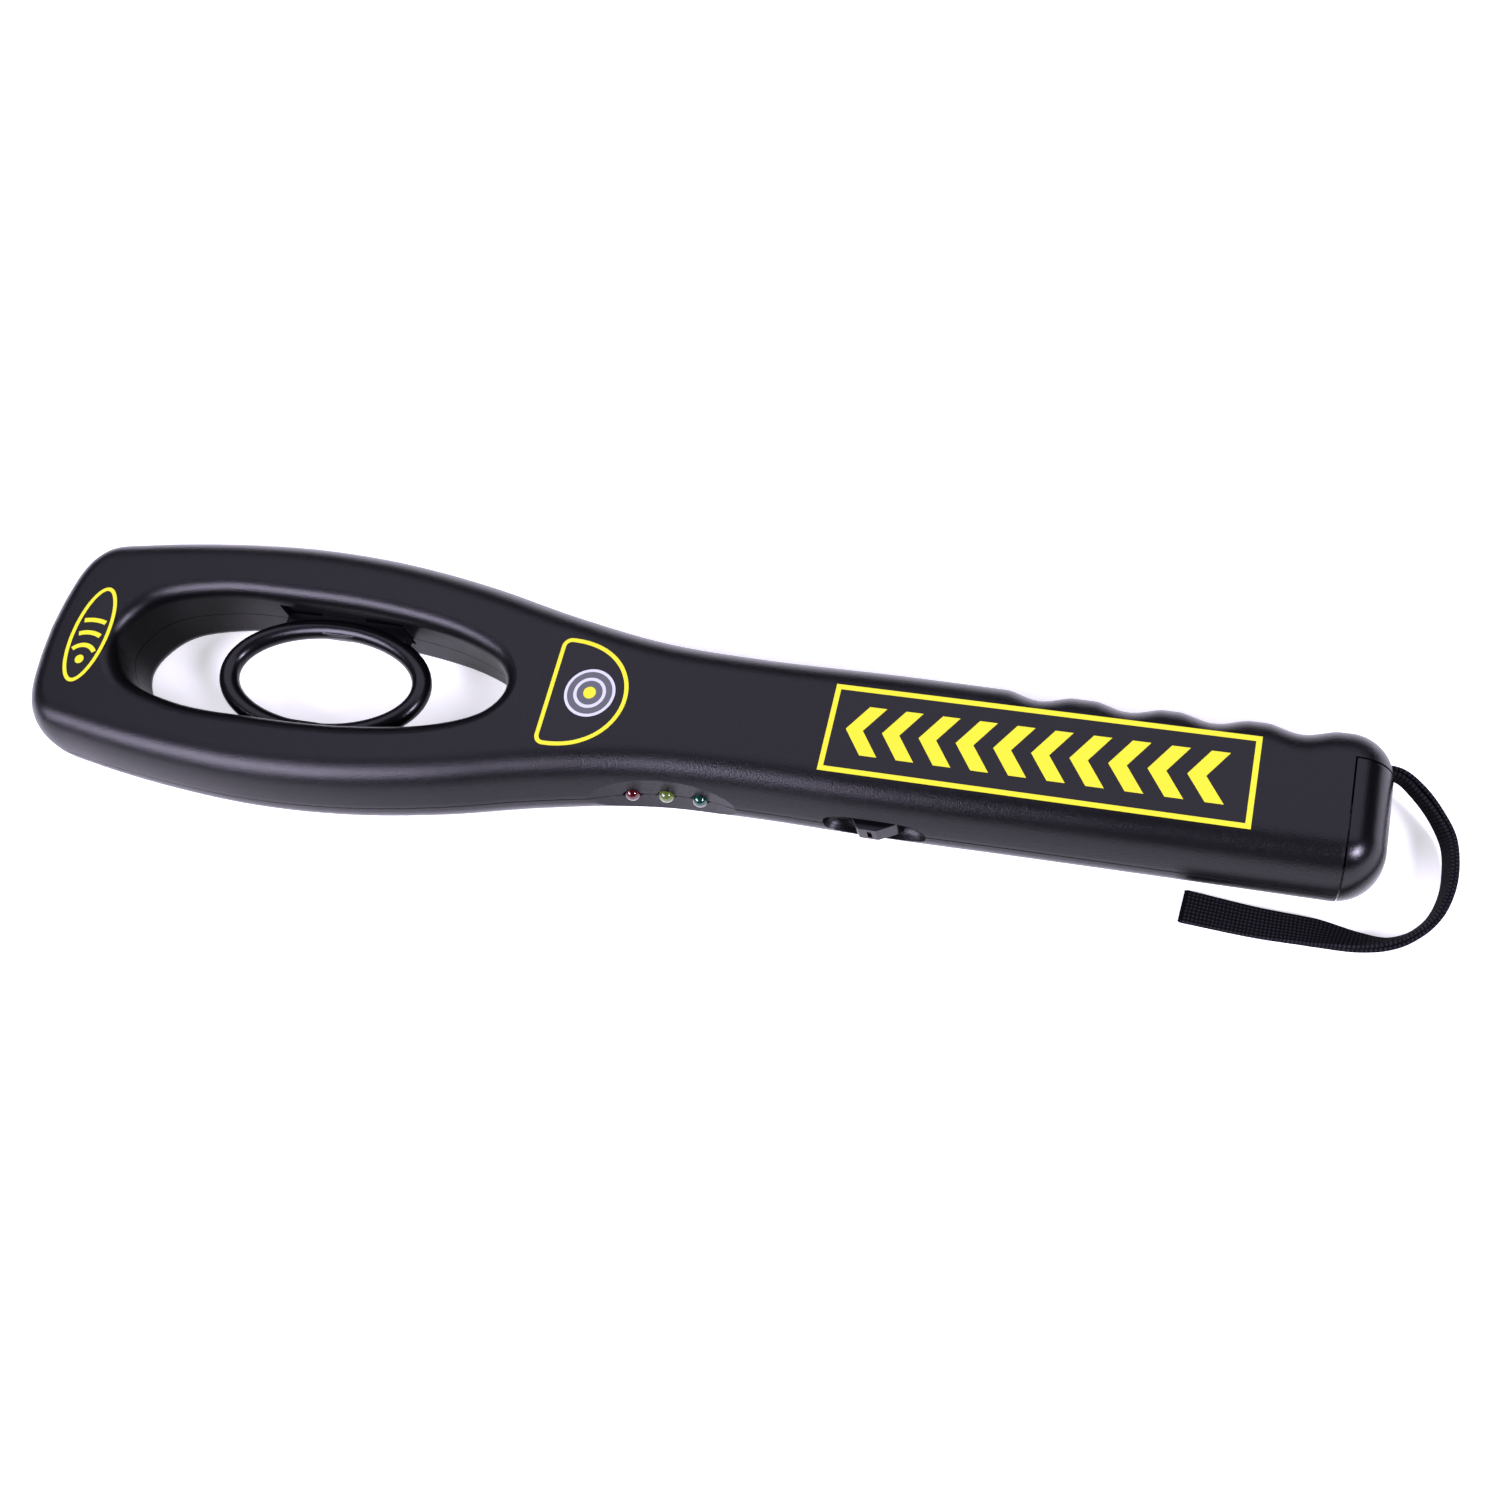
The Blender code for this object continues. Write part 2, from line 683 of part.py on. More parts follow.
def make_battery_door():
    """The end cap that closes the battery room and slides off sideways."""
    lower = outer_rings(-1, start=0.0)
    upper = outer_rings(1, start=0.0)
    door = loft("battery_door", lower[::-1] + upper[1:], "door_plastic")
    face_x = DOOR_X + DOOR_GAP / 2
    face_y = DOOR_Y - DOOR_GAP / 2
    boolean(door, block("keep_door", (face_x, -60, -6), (BUTT_X + 6, face_y, THICK + 6)), "INTERSECT")
    hollow = block("cut_door_hollow", (face_x - 2, -17.0, 5.2), (202.4, 8.6, 24.8), rounding=2.5)
    boolean(door, hollow)
    for up in (1, -1):
        outline = [
            (face_x + 1.5, TONGUE_Z[0]), (TONGUE_X, TONGUE_Z[0]), (TONGUE_X, HOOK_Z),
            (192.4, HOOK_Z), (192.4, TONGUE_Z[1]), (face_x + 1.5, TONGUE_Z[1]),
        ]
        tongue = loft(f"join_tongue_{up}", [
            [(x, y, PARTING + up * (z - PARTING)) for x, z in outline] for y in TONGUE_Y
        ])
        boolean(door, tongue, "UNION")
    return door


def wire(name, points, radius, finish_name, spacing=4.0, closed=False, resolution=2):
    """A round wire or tube along a smooth route."""
    curve = bpy.data.curves.new(name, "CURVE")
    curve.dimensions = "3D"
    curve.bevel_depth = radius * MM
    curve.bevel_resolution = resolution
    curve.use_fill_caps = not closed
    spline = curve.splines.new("POLY")
    route = [Vector(p) for p in points] if closed else even_curve(points, spacing)
    spline.points.add(len(route) - 1)
    for target, point in zip(spline.points, route):
        target.co = (*(point * MM), 1)
    spline.use_cyclic_u = closed
    guide = bpy.data.objects.new(name + "_guide", curve)
    collection("cutters").objects.link(guide)
    bpy.context.view_layer.update()
    graph = bpy.context.evaluated_depsgraph_get()
    mesh = bpy.data.meshes.new_from_object(guide.evaluated_get(graph))
    bpy.data.objects.remove(guide)
    form = bmesh.new()
    form.from_mesh(mesh)
    bmesh.ops.remove_doubles(form, verts=form.verts, dist=0.00001)
    return placed(name, form, finish_name)


def oval(centre_x, long_half, short_half, z, count):
    """Points round an upright oval."""
    points = []
    for step in range(count):
        angle = 2 * math.pi * step / count
        points.append((
            centre_x + long_half * math.cos(angle), short_half * math.sin(angle), z,
        ))
    return points


def make_ring():
    """The two halves of the oval ring and the small coil between them."""
    route = oval(RING_X, RING_LONG, RING_SHORT, PARTING, 44)
    bore = wire("cut_ring_bore", route, COIL_BORE, None, closed=True)
    lead_bore = rod("cut_ring_lead", (RING_X, 22.5, PARTING), 0.8, 10, "Y", sides=10)
    for name, up in (("ring_cover_top", 1), ("ring_cover_bottom", -1)):
        cover = wire(name, route, RING_TUBE, "ring_plastic", closed=True)
        face = PARTING + up * GAP / 2
        for side in (-1, 1):
            near, far = sorted((side * RING_SHORT, side * TAB_REACH))
            tab = block(f"join_{name}_{side}", (RING_X - TAB_LENGTH / 2, near, PARTING - TAB_HALF),
                        (RING_X + TAB_LENGTH / 2, far, PARTING + TAB_HALF))
            boolean(cover, tab, "UNION")
            near, far = sorted((side * WEB_INNER, side * (POCKET_Y - GAP)))
            web = block(f"join_{name}_web_{side}", (POCKET_X[0] + GAP, near, PARTING - TAB_HALF + 0.1),
                        (POCKET_X[1] - GAP, far, PARTING + TAB_HALF - 0.1))
            boolean(cover, web, "UNION")
        other_low, other_high = sorted((face, PARTING - up * 20))
        half = block(f"cut_{name}_half", (-160, -40, other_low), (-60, 40, other_high))
        boolean(cover, half)
        boolean(cover, bore)
        boolean(cover, lead_bore)
    wire("inner_coil", route, INNER_COIL, "copper_wire", closed=True, resolution=1)


def make_search_coil():
    """The large bound coil that runs round the head."""
    route = oval(COIL_X, COIL_LONG, COIL_SHORT, COIL_Z, 56)
    wire("search_coil", route, COIL_TUBE, "copper_wire", closed=True, resolution=1)


def make_lamp(name, x, finish_name):
    """One indicator lamp: domed body, rim and two legs bent down to the board."""
    dome = LAMP_RADIUS - GAP / 2
    base_y = LAMP_TIP_Y + LAMP_LENGTH
    turned = []
    dome_steps = 5
    for step in range(dome_steps + 1):
        angle = math.pi / 2 * (0.12 + 0.88 * step / dome_steps)
        turned.append((LAMP_TIP_Y + dome * (1 - math.cos(angle)), dome * math.sin(angle)))
    rim = dome + 0.45
    turned += [(base_y - 1.0, dome), (base_y - 1.0, rim), (base_y, rim)]
    sides = 16
    rings = []
    for y, radius in turned:
        rings.append([
            (x + radius * math.cos(2 * math.pi * i / sides), y,
             PARTING + radius * math.sin(2 * math.pi * i / sides))
            for i in range(sides)
        ])
    lamp = loft(name, rings, finish_name)
    low_z = BOARD_Z[1] + GAP
    bend = [
        (base_y - 0.7, PARTING + 0.3), (base_y - 0.7, PARTING - 0.3), (base_y + 2.0, PARTING - 0.3),
        (base_y + 2.0, low_z), (base_y + 2.6, low_z), (base_y + 2.6, PARTING + 0.3),
    ]
    for side in (-1, 1):
        leg_x = x + side * 1.27
        leg = loft(f"join_{name}_leg_{side}", [
            [(edge_x, y, z) for y, z in bend] for edge_x in (leg_x - 0.3, leg_x + 0.3)
        ])
        boolean(lamp, leg, "UNION")


def make_switch():
    """The knob outside, its stem through the wall, and the switch on the board."""
    knob = loft("power_switch_knob", [
        [(x, y, z) for x, y in KNOB_OUTLINE] for z in (PARTING - KNOB_HALF, PARTING + KNOB_HALF)
    ], "black_plastic")
    low_z = PARTING - 1.2
    high_z = PARTING + 1.2
    stem = block("join_knob_stem", (SWITCH_X - STEM_HALF, -20.6, low_z),
                 (SWITCH_X + STEM_HALF, -15.0, high_z))
    mark = block("cut_knob_mark", (69.2, -25, PARTING - 2), (70.5, -24.0, PARTING + 2))
    boolean(knob, stem, "UNION")
    boolean(knob, mark)
    body = block("slide_switch_body", (SWITCH_X - 9, -16.8, BOARD_Z[1] + GAP),
                 (SWITCH_X + 9, -10.4, 18.4), "steel")
    groove = block("cut_switch_groove", (SWITCH_X - 6, -18, PARTING - 1.7),
                   (SWITCH_X + 6, -14.5, PARTING + 1.7))
    boolean(body, groove)


def make_board():
    """The circuit board with two screw holes."""
    board = block("circuit_board", (BOARD_X[0], -BOARD_HALF, BOARD_Z[0]),
                  (BOARD_X[1], BOARD_HALF, BOARD_Z[1]), "board_green")
    for number, (x, y) in enumerate(BOARD_SCREWS, 1):
        boolean(board, rod(f"cut_board_hole_{number}", (x, y, 9), PILOT_RADIUS, 6, sides=12))


def make_components():
    """What stands on the board."""
    top = BOARD_Z[1] + GAP
    block("microcontroller_chip", (78, -4.5, top), (87, 4.5, top + 1.6), "chip_black")
    block("amplifier_chip", (58, 1, top), (63, 5, top + 1.6), "chip_black")
    block("voltage_regulator", (112, -4, top), (118.5, 0.5, top + 2.0), "chip_black")
    rod("supply_capacitor", (92, 11, top + 4), 3.0, 8, finish_name="can_blue", sides=20)
    rod("coil_capacitor", (2, 4, top + 3.5), 2.5, 7, finish_name="can_blue", sides=20)


def make_sounder():
    """The loudspeaker over the slots and its two leads."""
    middle_z = (SPEAKER_Z[0] + SPEAKER_Z[1]) / 2
    speaker = rod("speaker", (SPEAKER_X, 0, middle_z), SPEAKER_RADIUS, SPEAKER_Z[1] - SPEAKER_Z[0],
                  finish_name="chip_black", sides=32)
    cone = rod("cut_speaker_cone", (SPEAKER_X, 0, SPEAKER_Z[0]), 11.0, 3.2, sides=24, end_radius=5)
    boolean(speaker, cone)
    edge_x = SPEAKER_X + SPEAKER_RADIUS + 0.9
    for name, y, colour in (
        ("speaker_lead_red", 1.6, "lead_red"), ("speaker_lead_black", -1.6, "lead_black"),
    ):
        route = (
            (edge_x, y, 4.6), (edge_x + 3, y, 4.4), (edge_x + 6, y, 5.4), (edge_x + 7.5, y, 7.1),
        )
        wire(name, route, 0.5, colour, spacing=1.5)


def make_vibrator():
    """The buzzer motor and the off-centre weight on its shaft."""
    length = MOTOR_X[1] - MOTOR_X[0]
    middle = (MOTOR_X[0] + MOTOR_X[1]) / 2
    motor = rod("vibration_motor", (middle, MOTOR_Y, MOTOR_Z), MOTOR_RADIUS, length, "X", "steel", 20)
    shaft = rod("join_motor_shaft", (MOTOR_X[1] + 2, MOTOR_Y, MOTOR_Z), 0.5, 7, "X", sides=10)
    boolean(motor, shaft, "UNION")
    weight = rod("vibration_weight", (0, 0, 0), 2.7, 4.2, "X", "steel", 20)
    weight.location = Vector((MOTOR_X[1] + 2.8, MOTOR_Y, MOTOR_Z)) * MM
    bore = rod("cut_weight_bore", (0, 0, 0), 0.8, 8, "X", sides=12)
    bore.location = weight.location
    lower = block("cut_weight_half", (-6, -4, -1.1 - 4), (6, 4, -1.1))
    lower.location = weight.location
    boolean(weight, bore)
    boolean(weight, lower)


def make_trimmer():
    """The sensitivity trimmer under the board and its rotor."""
    body = block("trimmer_body", (TRIMMER_X - 3.5, TRIMMER_Y - 3.5, 3.6),
                 (TRIMMER_X + 3.5, TRIMMER_Y + 3.5, BOARD_Z[0] - GAP), "trimmer_blue")
    boolean(body, rod("cut_trimmer_bore", (TRIMMER_X, TRIMMER_Y, 3.6), 2.4, 5, sides=20))
    rotor = rod("trimmer_rotor", (0, 0, 0), 2.0, 2.4, finish_name="rotor_white", sides=20)
    rotor.location = Vector((TRIMMER_X, TRIMMER_Y, 4.4)) * MM
    slot = block("cut_rotor_slot", (-3, -0.35, -3), (3, 0.35, -0.5))
    slot.location = rotor.location
    boolean(rotor, slot)


def make_battery():
    """The block battery, its snap and the two leads to the board."""
    battery = block("battery", (BATTERY_X[0], BATTERY_Y[0], BATTERY_Z[0]),
                    (BATTERY_X[1], BATTERY_Y[1], BATTERY_Z[1]), "cell_copper", rounding=1.5)
    radii = (2.8, 4.0)
    for y, radius in zip(TERMINAL_Y, radii):
        terminal = rod(f"join_terminal_{radius}", (BATTERY_X[0] - 0.5, y, PARTING), radius, 5, "X", sides=14)
        boolean(battery, terminal, "UNION")
    snap = block("battery_snap", (140, BATTERY_Y[0] + 1, PARTING - 6.5),
                 (BATTERY_X[0] - GAP, BATTERY_Y[1] - 1, PARTING + 6.5), "chip_black", rounding=0.8)
    for y, radius in zip(TERMINAL_Y, radii):
        boolean(snap, rod(f"cut_snap_{radius}", (145, y, PARTING), radius + 0.4, 6, "X", sides=14))
    top = BOARD_Z[1] + GAP + 0.7
    wire("battery_lead_red", ((139, 1, 18), (135, 1, 18), (130, 2, 14), (125, 5, top), (121, 6, top)),
         0.7, "lead_red", spacing=2.5)
    wire("battery_lead_black", (
        (139, -5, 18), (135, -5, 17.5), (130, -4.5, 13), (126, -3.5, top), (121, -2.5, top),
    ), 0.7, "lead_black", spacing=2.5)


def make_coil_leads():
    """The thin leads of both coils."""
    top = BOARD_Z[1] + GAP + 0.5
    wire("search_coil_lead", (
        (-33.4, -8.9, 8.9), (-31.5, -8.9, 10.8), (-26, -8.8, 11.6), (-19, -8.6, 11), (-13, -8.5, top),
    ), 0.5, "copper_wire", spacing=1.8)
    wire("inner_coil_lead", (
        (RING_X, 19.7, PARTING), (RING_X, 24.2, PARTING), (-107.5, 26.4, PARTING), (-100, 27.0, 14.6),
        (-88, 26.2, 13.5), (-70, 22.6, 12.5), (-50, 17.0, 12), (-30, 12, 11.6), (-19, 10, 11), (-13, 9, top),
    ), 0.5, "copper_wire", spacing=5.0)


def make_screws():
    """Six case screws from below and two board screws from above."""
    cross = block("cut_cross_long", (-1.3, -0.3, -1), (1.3, 0.3, 0.8))
    cross_other = block("cut_cross_short", (-0.3, -1.3, -1), (0.3, 1.3, 0.801))
    case_form = rod("form_case_screw", (0, 0, 0.85), HEAD_RADIUS, 1.7, sides=20)
    boolean(case_form, rod("join_case_shank", (0, 0, 9.5), SHANK_RADIUS, 16.4, sides=10), "UNION")
    board_form = rod("form_board_screw", (0, 0, 0.7), 1.9, 1.4, sides=20)
    boolean(board_form, rod("join_board_shank", (0, 0, 3.6), SHANK_RADIUS, 5, sides=10), "UNION")
    for form in (case_form, board_form):
        boolean(form, cross)
        boolean(form, cross_other)
    for number, (x, y) in enumerate(CASE_SCREWS, 1):
        if number == 1:
            first = baked("case_screw_1", case_form, "steel")
            screw = first
        else:
            screw = named(f"case_screw_{number}", first.data)
        screw.location = Vector((x, y, 2.5)) * MM
    for number, (x, y) in enumerate(BOARD_SCREWS, 1):
        if number == 1:
            first = baked("board_screw_1", board_form, "steel")
            screw = first
        else:
            screw = named(f"board_screw_{number}", first.data)
        screw.rotation_euler = (math.pi, 0, 0)
        screw.location = Vector((x, y, BOARD_Z[1] + GAP + 1.4)) * MM


def make_strap():
    """The folded wrist webbing, on edge at the case and flat at its fold."""
    route = even_curve(STRAP_ROUTE, 4.0)
    xs = np.cumsum([0] + [(Vector(b) - Vector(a)).length for a, b in zip(STRAP_ROUTE, STRAP_ROUTE[1:])])
    run = 0.0
    total = sum((b - a).length for a, b in zip(route, route[1:]))
    rings = []
    for number, point in enumerate(route):
        if number:
            run += (point - route[number - 1]).length
        lean = math.radians(float(np.interp(run / total * xs[-1], xs, STRAP_LEANS)))
        before = route[max(number - 1, 0)]
        after = route[min(number + 1, len(route) - 1)]
        along = (after - before).normalized()
        left = Vector((-along.y, along.x, 0)).normalized()
        rise = along.cross(left)
        wide = (rise * math.cos(lean) + left * math.sin(lean)).normalized() * (STRAP_WIDTH / 2)
        thick = along.cross(wide).normalized() * (STRAP_THICK / 2)
        rings.append([point + wide + thick, point - wide + thick, point - wide - thick, point + wide - thick])
    loft("wrist_strap", rings, "webbing")


def make_pin():
    """The pin that the strap loops round."""
    rod("strap_anchor_pin", (PIN_X, PIN_Y, PARTING), PIN_RADIUS, 19.4, finish_name="steel", sides=16)


def main():
    """Builds the whole wand."""
    for leftover in list(bpy.data.objects):
        bpy.data.objects.remove(leftover)
    shared = shared_cutters()
    make_top_shell(shared)
    make_bottom_shell(shared)
    make_battery_door()
    make_ring()
    make_search_coil()
    for name, x, finish_name in zip(
        ("lamp_alarm_red", "lamp_battery_amber", "lamp_power_green"), LAMP_X,
        ("red_lens", "amber_lens", "green_lens"),
    ):
        make_lamp(name, x, finish_name)
    make_switch()
    make_board()
    make_components()
    make_sounder()
    make_vibrator()
    make_trimmer()
    make_battery()
    make_coil_leads()
    make_screws()
    make_pin()
    make_strap()
    make_labels()


main()
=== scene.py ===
"""Dresses the hand-held metal detector wand and stands it in a soft white studio.

Lengths are in millimetres until a mesh is made. The wand lies along +X on the floor
z = 0, with its lamps and switch toward -Y and its labelled face up.
"""

import json
import logging
import math
from dataclasses import dataclass, field
from enum import Enum
from typing import Optional, Sequence

import bmesh
import bpy
import numpy as np
from mathutils import Matrix, Vector

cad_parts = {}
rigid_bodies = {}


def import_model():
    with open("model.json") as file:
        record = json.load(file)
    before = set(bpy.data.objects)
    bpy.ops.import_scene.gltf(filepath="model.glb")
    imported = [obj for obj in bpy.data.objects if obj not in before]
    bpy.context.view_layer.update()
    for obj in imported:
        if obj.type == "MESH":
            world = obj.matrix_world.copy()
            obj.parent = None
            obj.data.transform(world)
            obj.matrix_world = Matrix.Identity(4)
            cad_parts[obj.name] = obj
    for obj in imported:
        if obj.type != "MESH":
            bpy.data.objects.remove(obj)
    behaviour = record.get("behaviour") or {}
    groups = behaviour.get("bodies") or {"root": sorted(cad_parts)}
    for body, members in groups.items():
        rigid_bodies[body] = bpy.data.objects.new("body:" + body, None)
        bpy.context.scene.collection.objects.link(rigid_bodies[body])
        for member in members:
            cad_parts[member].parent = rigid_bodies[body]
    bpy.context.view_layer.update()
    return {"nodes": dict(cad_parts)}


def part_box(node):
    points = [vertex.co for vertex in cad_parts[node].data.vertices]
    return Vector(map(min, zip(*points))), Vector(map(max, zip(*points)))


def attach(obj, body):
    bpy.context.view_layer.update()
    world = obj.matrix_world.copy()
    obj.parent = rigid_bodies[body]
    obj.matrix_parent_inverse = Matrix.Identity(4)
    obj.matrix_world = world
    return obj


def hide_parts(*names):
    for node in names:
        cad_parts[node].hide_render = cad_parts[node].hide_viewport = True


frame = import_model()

LOG = logging.getLogger("wand")
MM = 0.001
THICK = 30.0
PARTING = THICK / 2  # height where the shells meet
SEAM = 0.3  # gap between the shells
CREASE = 12.0  # degrees between two cut skins that make an edge
WELD = 0.002  # points closer than this are one
PAST = 5.0  # how far a tool runs past the face that it cuts
UPRIGHT = 0.08  # slope of a face that counts as a wall
LEVEL = 0.6  # slope from which a face is fully glossy
WAND = "wand"  # the body that everything fixed moves with
LAMP_NODES = ("lamp_alarm_red", "lamp_battery_amber", "lamp_power_green")

Point2 = tuple[float, float]
Ring = list[Vector]


class Axis(Enum):
    """Direction that a round rod lies along."""

    Y = "Y"
    Z = "Z"


class Cut(Enum):
    """How one solid changes another."""

    AWAY = "DIFFERENCE"
    JOIN = "UNION"
    KEEP = "INTERSECT"


class Surface(Enum):
    """Kinds of surface relief."""

    GRAIN = "grain"
    BRUSHED = "brushed"
    WEAVE = "weave"
    LENS = "lens"


@dataclass(frozen=True)
class Finish:
    """One look: colour, gloss and relief.

    Args:
        name: material name.
        colour: base colour.
        roughness: mean roughness.
        surface: kind of relief.
        grain: relief features per metre.
        depth: relief height in metres.
        metallic: 0 for plastic, 1 for metal.
        coat: clear coat weight.
        transmission: how much light passes through.
        mottle: strength of the slow change in colour and gloss.
        glow: light given off, for a lit table.
        shine: strength of the surface reflection.
        painted_side_shade: share of that reflection which upright faces lose, as painted shade on the
            walls.
    """

    name: str
    colour: tuple[float, float, float]
    roughness: float
    surface: Surface = Surface.GRAIN
    grain: float = 2600.0
    depth: float = 0.00002
    metallic: float = 0.0
    coat: float = 0.0
    transmission: float = 0.0
    mottle: float = 0.15
    glow: float = 0.0
    shine: float = 0.5
    painted_side_shade: float = 0.0

    def material(self) -> bpy.types.Material:
        """The material of this look, made on first use.

        Returns:
            The Blender material.
        """
        label = f"{self.name} finish"
        made = bpy.data.materials.get(label)
        if made is None:
            made = bpy.data.materials.new(label)
            made.use_nodes = True
            self._wire(made.node_tree)
            made.diffuse_color = (*self.colour, 1.0)
        return made

    def _wire(self, tree: bpy.types.NodeTree) -> None:
        """Builds the node network.

        Args:
            tree: the material's node tree.
        """
        shader = tree.nodes["Principled BSDF"]
        shader.inputs["Metallic"].default_value = self.metallic
        shader.inputs["Coat Weight"].default_value = self.coat
        shader.inputs["Coat Roughness"].default_value = 0.05
        shader.inputs["Transmission Weight"].default_value = self.transmission
        shader.inputs["IOR"].default_value = 1.5
        shader.inputs["Specular IOR Level"].default_value = self.shine
        shader.inputs["Emission Color"].default_value = (1.0, 1.0, 1.0, 1.0)
        shader.inputs["Emission Strength"].default_value = self.glow
        place = tree.nodes.new("ShaderNodeTexCoord")
        height = self._relief(tree, place)
        self._mottle(tree, shader, place.outputs["Object"], height)
        # Painted shade: the reflection weakens on upright walls.
        if self.painted_side_shade:
            self._paint_side_shade(tree, shader, place)
        bump = tree.nodes.new("ShaderNodeBump")
        bump.inputs["Distance"].default_value = self.depth
        bump.inputs["Strength"].default_value = 1.0
        tree.links.new(height, bump.inputs["Height"])
        tree.links.new(bump.outputs["Normal"], shader.inputs["Normal"])

    def _paint_side_shade(
        self, tree: bpy.types.NodeTree, shader: bpy.types.Node, place: bpy.types.Node
    ) -> None:
        """Painted shade: upright walls reflect less than the faces that look up or down.

        Args:
            tree: the material's node tree.
            shader: its shader.
            place: the texture coordinate node.
        """
        split = tree.nodes.new("ShaderNodeSeparateXYZ")
        tree.links.new(place.outputs["Normal"], split.inputs["Vector"])
        slope = tree.nodes.new("ShaderNodeMath")
        slope.operation = "ABSOLUTE"
        tree.links.new(split.outputs["Z"], slope.inputs[0])
        spread = tree.nodes.new("ShaderNodeMapRange")
        spread.inputs["From Min"].default_value = UPRIGHT
        spread.inputs["From Max"].default_value = LEVEL
        spread.inputs["To Min"].default_value = self.shine * (1.0 - self.painted_side_shade)
        spread.inputs["To Max"].default_value = self.shine
        tree.links.new(slope.outputs["Value"], spread.inputs["Value"])
        tree.links.new(spread.outputs["Result"], shader.inputs["Specular IOR Level"])

    def _mottle(
        self, tree: bpy.types.NodeTree, shader: bpy.types.Node, source: bpy.types.NodeSocket,
        height: bpy.types.NodeSocket,
    ) -> None:
        """Slow change in colour and gloss, as handling and moulding leave; on a weave the colour instead
        follows the relief, with painted shade in its hollows and a painted highlight on its raised yarns.

        Args:
            tree: the material's node tree.
            shader: its shader.
            source: the coordinates.
            height: the relief, which a weave's colour follows as painted shade and painted highlight.
        """
        slow = tree.nodes.new("ShaderNodeTexNoise")
        slow.inputs["Scale"].default_value = 38.0
        slow.inputs["Detail"].default_value = 5.0
        tree.links.new(source, slow.inputs["Vector"])
        mix = tree.nodes.new("ShaderNodeMix")
        mix.data_type = "RGBA"
        # On a weave the colour follows the relief: painted shade in the hollows, painted highlight on the
        # raised yarns.
        woven = self.surface is Surface.WEAVE
        tree.links.new(height if woven else slow.outputs["Fac"], mix.inputs["Factor"])
        low = 0.25 if woven else 1.0 - self.mottle
        high = 2.2 if woven else 1.0 + self.mottle
        mix.inputs["A"].default_value = (*(min(c * low, 1.0) for c in self.colour), 1.0)
        mix.inputs["B"].default_value = (*(min(c * high, 1.0) for c in self.colour), 1.0)
        tree.links.new(mix.outputs["Result"], shader.inputs["Base Color"])
        gloss = tree.nodes.new("ShaderNodeMapRange")
        gloss.inputs["To Min"].default_value = max(self.roughness * (1 - self.mottle * 0.6), 0.02)
        gloss.inputs["To Max"].default_value = min(self.roughness * (1 + self.mottle * 0.6), 1.0)
        tree.links.new(slow.outputs["Fac"], gloss.inputs["Value"])
        tree.links.new(gloss.outputs["Result"], shader.inputs["Roughness"])

    def _relief(self, tree: bpy.types.NodeTree, place: bpy.types.Node) -> bpy.types.NodeSocket:
        """The fine relief of the surface.

        Args:
            tree: the material's node tree.
            place: the texture coordinate node.

        Returns:
            The height socket.
        """
        if self.surface is Surface.WEAVE:
            return self._weave(tree, place)
        fine = tree.nodes.new("ShaderNodeTexNoise")
        fine.inputs["Scale"].default_value = self.grain
        fine.inputs["Detail"].default_value = 2.0
        fine.inputs["Roughness"].default_value = 0.6
        if self.surface is Surface.BRUSHED:
            stretch = tree.nodes.new("ShaderNodeMapping")
            stretch.inputs["Scale"].default_value = (0.06, 1.0, 1.0)
            tree.links.new(place.outputs["Object"], stretch.inputs["Vector"])
            tree.links.new(stretch.outputs["Vector"], fine.inputs["Vector"])
        else:
            tree.links.new(place.outputs["Object"], fine.inputs["Vector"])
        return fine.outputs["Fac"]

    def _weave(self, tree: bpy.types.NodeTree, place: bpy.types.Node) -> bpy.types.NodeSocket:
        """Small raised yarns where the ribs along and across the webbing meet.

        Args:
            tree: the material's node tree.
            place: the texture coordinate node.

        Returns:
            The height socket.
        """
        heights = []
        for direction in ("X", "Y"):
            wave = tree.nodes.new("ShaderNodeTexWave")
            wave.bands_direction = direction
            wave.inputs["Scale"].default_value = self.grain
            wave.inputs["Distortion"].default_value = 1.2
            wave.inputs["Detail"].default_value = 1.0
            tree.links.new(place.outputs["UV"], wave.inputs["Vector"])
            heights.append(wave.outputs["Fac"])
        product = tree.nodes.new("ShaderNodeMath")
        product.operation = "MULTIPLY"
        tree.links.new(heights[0], product.inputs[0])
        tree.links.new(heights[1], product.inputs[1])
        return product.outputs["Value"]


CASE = Finish(
    "satin case", (0.0022, 0.0021, 0.0025), 0.30, grain=2300.0, depth=0.000095, shine=0.3,
    painted_side_shade=0.82,
)
DOOR = Finish(
    "satin door", (0.0022, 0.0021, 0.0025), 0.23, grain=2500.0, depth=0.00005, shine=0.3,
    painted_side_shade=0.6,
)
RING = Finish("ring gloss", (0.0022, 0.0021, 0.0025), 0.24, grain=2500.0, depth=0.000035, shine=0.32)
FILM = Finish("label film", (0.0034, 0.0033, 0.0037), 0.3, grain=900.0, depth=0.000006, shine=0.3)
YELLOW = Finish("yellow print", (0.62, 0.59, 0.010), 0.45, grain=1500.0, depth=0.000006, mottle=0.04)
WHITE_PRINT = Finish("white print", (0.48, 0.50, 0.5), 0.4, grain=1500.0, depth=0.000006, mottle=0.04)
GREY_PRINT = Finish("grey print", (0.075, 0.08, 0.085), 0.4, grain=1500.0, depth=0.000006, mottle=0.05)
WEBBING = Finish("webbing", (0.0085, 0.0085, 0.0097), 0.85, Surface.WEAVE, 300.0, 0.00009, shine=0.03)
RED_LENS = Finish(
    "red lens", (0.075, 0.0015, 0.003), 0.07, Surface.LENS, 300.0, 0.00001, coat=0.6, transmission=0.35,
)
AMBER_LENS = Finish(
    "amber lens", (0.10, 0.15, 0.022), 0.07, Surface.LENS, 300.0, 0.00001, coat=0.6, transmission=0.35,
)
